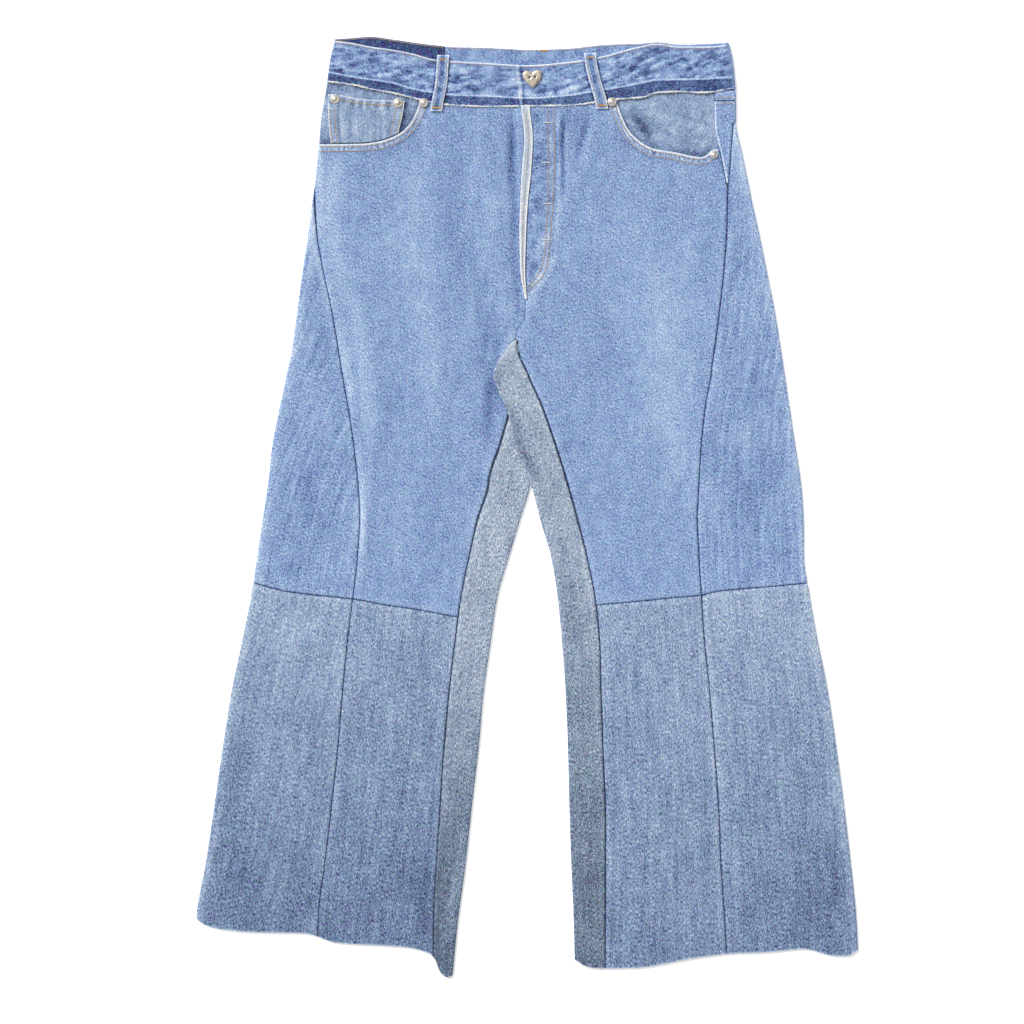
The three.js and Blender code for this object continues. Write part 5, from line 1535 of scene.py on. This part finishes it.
rivet_metal = worn_metal("metal_rivets", (0.86, 0.82, 0.75), (0.2, 0.13, 0.08), 1.7)
button_metal = worn_metal("metal_button", (0.84, 0.76, 0.62), (0.24, 0.15, 0.08), 3.4)

RIVET_PROFILE = (
    (0, 0), (0.96, 0), (1, 0.12), (0.97, 0.2), (0.86, 0.27), (0.72, 0.25), (0.5, 0.22), (0.42, 0.3),
    (0.3, 0.38), (0.14, 0.42), (0, 0.44),
)
# name, x, height, radius, level
RIVETS = (
    ("rivet_coin_outer", -202, 921.4, 5.1, 4.5), ("rivet_coin_inner", -135.5, 917.2, 5.1, 4.5),
    ("rivet_right", -108.7, 917.2, 4.8, 6), ("rivet_left", 88.7, 918.2, 4.8, 6),
    ("rivet_hip", 195.8, 862.6, 4, 5.4),
)


def finish_mesh(bm, mesh):
    """Puts a shape made in millimetres into the frame, in a mesh of its own."""
    for vert in bm.verts:
        vert.co = in_frame(vert.co)
    for face in bm.faces:
        face.smooth = True
    bm.to_mesh(mesh)
    bm.free()


def rivet(name, x, height, radius, level):
    mesh = bpy.data.meshes.new(name)
    bm = bmesh.new()
    line = [bm.verts.new((r * radius, 0, z * radius)) for r, z in RIVET_PROFILE]
    edges = [bm.edges.new(pair) for pair in zip(line, line[1:])]
    bmesh.ops.spin(bm, geom=line + edges, cent=(0, 0, 0), axis=(0, 0, 1), angle=2 * math.pi,
                   steps=32, use_merge=True)
    bmesh.ops.remove_doubles(bm, verts=bm.verts[:], dist=1e-4)
    bmesh.ops.recalc_face_normals(bm, faces=bm.faces[:])
    bmesh.ops.translate(bm, verts=bm.verts[:], vec=(x, height, level))
    finish_mesh(bm, mesh)
    return show(name + "_turned", mesh, [rivet_metal], "metal", name)


rivets = [rivet(*row) for row in RIVETS]
print(len(rivets), "rivets of", len(rivets[0].data.polygons), "faces")

# %% [markdown]
# The button is a heart cast in metal, sewn on through two holes. The outline is one curve and its
# mirror image. Filling it between the outline and the holes gives the top, which is divided and
# domed by how far each point is from the nearest edge.

# %% Heart button
BUTTON_X, BUTTON_HEIGHT, BUTTON_TILT = 5.3, 942, 4
BUTTON_BASE = BAND_FACE + SEAM_GAP
NOTCH, TIP, HALF_WIDTH, THICK = 6, -9.6, 10, 2.8
HOLES, HOLE_RADIUS = ((-2.9, 2), (2.9, 2)), 1.2
ROUND = 2.6


def bezier(a, b, c, d, count):
    t = np.linspace(0, 1, count, endpoint=False)[:, None]
    a, b, c, d = (np.array(p, float) for p in (a, b, c, d))
    return (1 - t) ** 3 * a + 3 * t * (1 - t) ** 2 * b + 3 * t * t * (1 - t) * c + t**3 * d


half = np.concatenate([
    bezier((0, NOTCH), (1.5, NOTCH + 3.6), (HALF_WIDTH, NOTCH + 5.5), (HALF_WIDTH, NOTCH - 1.5), 16),
    bezier((HALF_WIDTH, NOTCH - 1.5), (HALF_WIDTH, NOTCH - 8), (2, TIP + 2.5), (0, TIP), 18),
    [(0, TIP)],
])
outline = np.concatenate([half, half[-2:0:-1] * (-1, 1)])


def heart_button():
    mesh = bpy.data.meshes.new("button")
    bm = bmesh.new()
    rim = [bm.verts.new((x, y, 0)) for x, y in outline]
    edges = [bm.edges.new(pair) for pair in zip(rim, rim[1:] + rim[:1])]
    for x, y in HOLES:
        middle = Matrix.Translation((x, y, 0))
        ring = bmesh.ops.create_circle(bm, segments=16, radius=HOLE_RADIUS, matrix=middle)
        edges += list({edge for vert in ring["verts"] for edge in vert.link_edges})
    bmesh.ops.triangle_fill(bm, use_beauty=True, use_dissolve=False, edges=edges)
    for _ in range(3):
        across = [edge for edge in bm.edges if not edge.is_boundary and edge.calc_length() > 1]
        bmesh.ops.subdivide_edges(bm, edges=across, cuts=1, use_grid_fill=True)
        bmesh.ops.triangulate(bm, faces=[face for face in bm.faces if len(face.verts) > 3])
        inner = [edge for edge in bm.edges if not edge.is_boundary]
        bmesh.ops.beautify_fill(bm, faces=bm.faces[:], edges=inner)
    bmesh.ops.recalc_face_normals(bm, faces=bm.faces[:])
    if bm.faces[:][0].normal.z < 0:
        bmesh.ops.reverse_faces(bm, faces=bm.faces[:])
    top = bm.verts[:]
    copied = bmesh.ops.duplicate(bm, geom=bm.verts[:] + bm.edges[:] + bm.faces[:])
    lower = [item for item in copied["geom"] if isinstance(item, bmesh.types.BMFace)]
    bmesh.ops.reverse_faces(bm, faces=lower)
    for vert in top:
        to_rim = min(math.hypot(vert.co.x - x, vert.co.y - y) for x, y in outline_dense)
        to_hole = min(math.hypot(vert.co.x - x, vert.co.y - y) - HOLE_RADIUS for x, y in HOLES)
        inward = min(1, to_rim / ROUND)
        dome = THICK * (0.42 + 0.58 * math.sqrt(1 - (1 - inward) ** 2))
        vert.co.z = dome - 0.5 * max(0, 1 - to_hole / 1.2) ** 2
    borders = [edge for edge in bm.edges if edge.is_boundary]
    bmesh.ops.bridge_loops(bm, edges=[e for e in borders if rim_edge(e)])
    for x, y in HOLES:
        bmesh.ops.bridge_loops(bm, edges=[e for e in borders if e.is_valid and hole_edge(e, x, y)])
    bmesh.ops.recalc_face_normals(bm, faces=bm.faces[:])
    tilt = Matrix.Rotation(math.radians(BUTTON_TILT), 4, "Z")
    seat = Matrix.Translation((BUTTON_X, BUTTON_HEIGHT, BUTTON_BASE))
    bmesh.ops.transform(bm, matrix=seat @ tilt, verts=bm.verts[:])
    finish_mesh(bm, mesh)
    return show("button_heart", mesh, [button_metal], "metal", "button")


def hole_edge(edge, x, y):
    return all(math.hypot(v.co.x - x, v.co.y - y) < HOLE_RADIUS + 0.2 for v in edge.verts)


def rim_edge(edge):
    return not any(hole_edge(edge, x, y) for x, y in HOLES)


outline_dense = path_of(*outline, outline[0])
button = heart_button()
print("button of", len(button.data.polygons), "faces")

# %% [markdown]
# The topstitching is thick cotton thread in tan, ochre and orange. Each stitch is a small long bead
# that lies on the cloth, so it catches the light as thread does. A ray cast straight down finds the
# height of the cloth under each stitch.

# %% Stitches
WELL_ABOVE = 60
surfaces = {}


def surface_under(name):
    """The finished surface of a panel, to lay things on."""
    if name not in surfaces:
        surfaces[name] = BVHTree.FromObject(panels[name][0], bpy.context.evaluated_depsgraph_get())
    return surfaces[name]


def on_surface(name, x, height):
    """The top of a panel at a place, and the way it faces there, in metres."""
    start = Vector(in_frame((x, height, WELL_ABOVE)))
    return surface_under(name).ray_cast(start, Vector((0, 0, -1)))[:2]


def cotton(name, colour, pale):
    s = Shader(name, Roughness=0.8, Specular_IOR_Level=0.3)
    place = s.node("TexCoord").outputs["Object"]
    twist = s.node("TexNoise", {"Vector": place, "Scale": 900, "Detail": 2})
    wear = s.node("TexNoise", {"Vector": place, "Scale": 120, "Detail": 2})
    value = s.sum(wear.outputs["Fac"], 1.5, s.sum(twist.outputs["Fac"], 0.5, -0.5))
    bump = s.node("Bump", {"Height": twist.outputs["Fac"], "Strength": 0.5, "Distance": 0.0002})
    return s.paint(s.ramp(value, ((0.25, colour), (0.75, colour), (1.0, pale))), bump.outputs[0])


threads = {
    "tan": cotton("thread_tan", (0.56, 0.37, 0.2), (0.72, 0.58, 0.44)),
    "rose": cotton("thread_rose", (0.5, 0.33, 0.28), (0.7, 0.58, 0.54)),
    "ochre": cotton("thread_ochre", (0.66, 0.38, 0.1), (0.78, 0.56, 0.28)),
    "orange": cotton("thread_orange", (0.82, 0.4, 0.05), (0.88, 0.58, 0.2)),
    "white": cotton("thread_white", (0.82, 0.82, 0.8), (0.95, 0.95, 0.95)),
    "blue_white": cotton("thread_pale_blue", (0.6, 0.66, 0.76), (0.85, 0.88, 0.92)),
}
STITCH_PITCH, STITCH_LENGTH, STITCH_WIDTH = 2.9, 2.7, 1.1


class Threads:
    """Many small stitches or loose threads on one panel, collected into one mesh."""

    DOWN = -math.pi / 2

    def __init__(self, name, carrier, colour):
        self.name, self.carrier, self.colour = name, carrier, colour
        self.bm = bmesh.new()
        self.chance = random.Random(name)

    def bead(self, x, height, angle, length, width, lift=0.3):
        place, normal = on_surface(self.carrier, x, height)
        if place is None:
            return
        way = Vector((math.cos(angle), math.sin(angle), 0))
        way = (way - normal * way.dot(normal)).normalized()
        side = normal.cross(way)
        turn = Matrix((side, normal, way)).transposed().to_4x4()
        size = Matrix.Diagonal((width * MM, width * 0.8 * MM, length * MM, 1))
        put = Matrix.Translation(place + normal * width * lift * MM)
        bmesh.ops.create_uvsphere(self.bm, u_segments=6, v_segments=4, radius=0.5, matrix=put @ turn @ size)

    def row(self, path, pitch=STITCH_PITCH, length=STITCH_LENGTH, width=STITCH_WIDTH):
        """Stitches along a path of places a millimetre apart."""
        at = pitch / 2
        while at < len(path) - 1:
            i = int(at)
            way = path[min(i + 1, len(path) - 1)] - path[max(i - 1, 0)]
            angle = math.atan2(way[1], way[0]) + self.chance.uniform(-0.05, 0.05)
            thickness = width * self.chance.uniform(0.85, 1.15)
            self.bead(*lerp(path[i], path[i + 1], at - i), angle, length, thickness)
            at += pitch
        return self

    def bartack(self, x, height, angle, length, width, count=9):
        """A short dense bar of stitches across the ends of a seam."""
        along = np.array((math.cos(math.radians(angle)), math.sin(math.radians(angle))))
        for i in range(count):
            place = np.array((x, height)) + along * length * (i / (count - 1) - 0.5)
            self.bead(*place, math.radians(angle + 90), width, length / count * 1.25, lift=0.5)
        return self

    def fringe(self, path, pitch, length, width, spread=0.5):
        """Loose thread ends that hang down from a path."""
        at = 0.5
        while at < len(path) - 1.5:
            i = int(at)
            way = path[i + 1] - path[i]
            angle = math.atan2(way[1], way[0]) + self.DOWN + self.chance.gauss(0, spread)
            reach = length * self.chance.uniform(0.4, 1.3)
            start = lerp(path[i], path[i + 1], at - i)
            self.strand(start, angle, reach, width * self.chance.uniform(0.7, 1.2))
            at += pitch * self.chance.uniform(0.6, 1.4)

    def strand(self, start, angle, length, width):
        """One loose thread: a thin cone that starts on the cloth."""
        place, _ = on_surface(self.carrier, *start)
        if place is None:
            return
        way = Vector((math.cos(angle), math.sin(angle), self.chance.uniform(-0.1, 0.05))).normalized()
        side = Vector((0, 0, 1)).cross(way).normalized()
        turn = Matrix((side, way.cross(side), way)).transposed().to_4x4()
        put = Matrix.Translation(place + way * length / 2 * MM) @ turn
        bmesh.ops.create_cone(self.bm, cap_ends=True, segments=3, radius1=width / 2 * MM,
                              radius2=width / 5 * MM, depth=length * MM, matrix=put)

    def done(self):
        mesh = bpy.data.meshes.new(self.name)
        for face in self.bm.faces:
            face.smooth = True
        self.bm.to_mesh(mesh)
        self.bm.free()
        piece = show(self.name, mesh, [threads[self.colour]], panels[self.carrier][2])
        goes_with[self.carrier].append(piece)
        return piece


print("a stitch is", STITCH_LENGTH, "mm long")

# %% Places of the stitches: x, height
MOUTH_ROWS = (-2.8, -7.6)
FLY_BARS = ((21.5, 896.7), (19.4, 854.7), (21, 811.7), (19.4, 773.9))
FLY_END_BAR, BACK_BAR = (-4.2, 741.3), (16.8, 972.3)
print(len(J_OUTER), "places on the fly's stitch line")

# %% Topstitching of the waistband and the pocket mouths
def edge_path(line, start, end, drop, count=200):
    """A path that follows an edge at a distance below it."""
    return path_of(*[(x, float(line(x)) - drop) for x in np.linspace(start, end, count)])


def across_path(line_of_x, low, high, shift=0.0, count=90):
    """A path that runs up a seam given by its x at each height."""
    return path_of(*[(float(line_of_x(h)) + shift, h) for h in np.linspace(low, high, count)])


for side, start, end in (("right", -206, -13), ("left", -9, 200)):
    Threads("band_stitches_" + side, "waistband_" + side, "rose").row(
        edge_path(front_top, start, end, 2.3), pitch=2.6, length=2.1).done()
Threads("band_stitches_insert", "waistband_back_insert", "ochre").row(
    edge_path(back_top, -200, -88, 1.6), pitch=2.6, length=2.2, width=0.9).done()
Threads("band_stitches_back", "waistband_back", "tan").row(
    edge_path(back_top, -84, 150, 1.4), pitch=2.6, length=2.1, width=0.8).done()

# The left front carries the curved double row that holds the fly too
for side, line, fly_rows in (("right", mouth_line_right, ()), ("left", mouth_line_left, (J_INNER, J_OUTER))):
    mouth_rows = Threads("mouth_stitches_" + side, "front_" + side, "tan")
    for shift in MOUTH_ROWS:
        mouth_rows.row(offset_path(line, shift))
    for points in fly_rows:
        mouth_rows.row(path_of(*points), pitch=3)
    mouth_rows.done()

coin_rows = Threads("coin_stitches", "coin_pocket", "ochre")
coin_rows.row(edge_path(coin_top, -197, -139, 5.2), pitch=2.6, length=2.2)
for shift, line in ((1.8, coin_outer), (7.2, coin_outer), (-1.8, coin_inner), (-8.2, coin_inner)):
    coin_rows.row(across_path(line, 874, 912, shift), pitch=2.8, length=2.4, width=0.8)
coin_rows.done()


Threads("fly_strip_stitches", "fly_strip", "tan").row(
    across_path(fly_middle, 716, 908), pitch=3, length=2.6, width=0.8).done()

for name, rows in (("belt_loop_right", LOOP_RIGHT), ("belt_loop_left", LOOP_LEFT)):
    middle = curve(rows, 1)
    loop = Threads(name + "_stitches", name, "tan")
    for shift in (-4.2, 4.2):
        path = across_path(middle, rows[0][0] + 5, rows[-1][0] - 5, shift)
        loop.row(path, pitch=2.5, length=2.2, width=0.8)
    loop.done()
    bars = Threads(name + "_bartacks", name, "orange")
    low, high = rows[0][0] + 3.5, rows[-1][0] - 4.5
    bars.bartack(float(middle(low)), low, 0, 9, 1.7, 12)
    bars.bartack(float(middle(high)), high, 0, 7, 1.5, 10)
    bars.done()

# Two rows cross the seam at the left hip, one on each side of it
for name, height in (("yoke_left", 922.6), ("back_edge_left", 916)):
    Threads(name + "_hip_stitches", name, "tan").row(
        path_of((197.5, height), (214, height + 0.6)), pitch=2.8, length=2.5).done()
print("stitches on", sum(bool(pieces) for pieces in goes_with.values()), "panels")

# %% [markdown]
# Small bars of thread hold the fly and the pocket ends. They are worn, so most of them are white.

# %% Bartacks of the fly
fly_bars = Threads("fly_bartacks", "front_left", "white")
for x, height in FLY_BARS:
    fly_bars.bartack(x, height, 0, 8.5, 1.3, 9)
fly_bars.done()
Threads("fly_end_bartack", "front_left", "orange").bartack(*FLY_END_BAR, 10, 6, 1.5, 8).done()
Threads("band_bartack", "waistband_back", "orange").bartack(*BACK_BAR, 0, 8, 1.8, 10).done()
print("bartacks at", len(FLY_BARS) + 2, "places")

# %% [markdown]
# A raw edge of denim frays: the blue warp threads fall out and the white weft stands out as a
# fringe. Along the waistband it's a lumpy white line of tangled ends, and at the hems a short beard.

# %% Frayed edges
for side, start, end in (("right", -209, -8), ("left", -6, 205)):
    name = "waistband_" + side
    edge = edge_path(raw_edge, start, end, -0.3, 300)
    fray = Threads("band_fray_" + side, name, "white")
    chance = random.Random(side)
    at = 0.5
    while at < len(edge) - 1:
        x, height = edge[int(at)]
        lump = 0.75 + 0.35 * math.sin(at * 0.21 + 1.3 * math.sin(at * 0.057)) + chance.uniform(-0.15, 0.25)
        place, angle = height + chance.uniform(-0.2, 0.6), chance.uniform(-0.7, 0.7)
        fray.bead(x, place, angle, 2.3 * lump, 1.75 * lump, lift=0.15)
        at += chance.uniform(0.7, 1.2)
    fray.fringe(edge, 1.3, 2.4, 0.4, spread=0.9)
    fray.done()

for name, row in hem_rows.items():
    if len(row) > 8:
        fringe = Threads(name + "_fray", name, "blue_white")
        fringe.fringe(path_of(*(row + (0, 0.3))), 0.9, 1.5, 0.34, spread=0.45)
        fringe.done()
print("frayed edges on", len(hem_rows) + 2, "panels")

# %% [markdown]
# The jeans lie on a plain white light table under soft light from a large window, upper left. Its
# own faint glow keeps the shadows beside them pale, as they are in the picture. The camera
# looks straight down at them from four metres, with a long lens, as in the picture.

# %% Floor, light and camera
TABLE_LEVEL, TABLE_GLOW = -0.0003, 0.35
SKY, WINDOW, WINDOW_WIDTH = 0.45, 2.65, 24
floor_mesh = bpy.data.meshes.new("floor")
bm = bmesh.new()
bmesh.ops.create_grid(bm, x_segments=1, y_segments=1, size=20)
bmesh.ops.translate(bm, verts=bm.verts[:], vec=(0, 0, TABLE_LEVEL))
bm.to_mesh(floor_mesh)
bm.free()
floor = bpy.data.objects.new("floor", floor_mesh)
bpy.context.scene.collection.objects.link(floor)
paper = Shader("floor", Roughness=0.9, Specular_IOR_Level=0.0, Emission_Color=(1, 1, 1, 1),
               Emission_Strength=TABLE_GLOW)
place = paper.node("TexCoord").outputs["Object"]
fibres = paper.node("TexNoise", {"Vector": place, "Scale": 60, "Detail": 3})
whites = paper.ramp(fibres.outputs["Fac"], ((0.3, (0.95, 0.95, 0.95)), (0.7, (0.96, 0.96, 0.96))))
floor_mesh.materials.append(paper.paint(whites))

scene = bpy.context.scene
scene.view_settings.view_transform = "Standard"
scene.view_settings.look = "None"
world = bpy.data.worlds.new("soft_white")
world.use_nodes = True
background = world.node_tree.nodes["Background"]
background.inputs["Color"].default_value = (1, 1, 1, 1)
background.inputs["Strength"].default_value = SKY
scene.world = world

window = bpy.data.lights.new("window", "SUN")
window.energy = WINDOW
window.angle = math.radians(WINDOW_WIDTH)
lamp = bpy.data.objects.new("window", window)
lamp.rotation_euler = Vector((-0.55, 0.5, 0.8)).to_track_quat("Z", "Y").to_euler()
scene.collection.objects.link(lamp)

SENSOR, DISTANCE, WIDTH_SEEN = 36, 4.0, 1.075
camera_data = bpy.data.cameras.new("camera")
camera_data.sensor_width = SENSOR
camera_data.lens = SENSOR * DISTANCE / WIDTH_SEEN
camera = bpy.data.objects.new("camera", camera_data)
camera.location = (-0.0159, -0.00525, DISTANCE)
scene.collection.objects.link(camera)
scene.camera = camera
print("lens", round(camera_data.lens, 1), "mm")

# %% [markdown]
# Each panel has the size of the rectangle that it's cut from and its own flat area. The threads on a
# panel go with it.

# %% Sheets of cloth
LEAST_CUT = 0.0105
for name, (piece, (width, length, area), _) in panels.items():
    width = max(width, LEAST_CUT)
print(len(panels), "sheets")
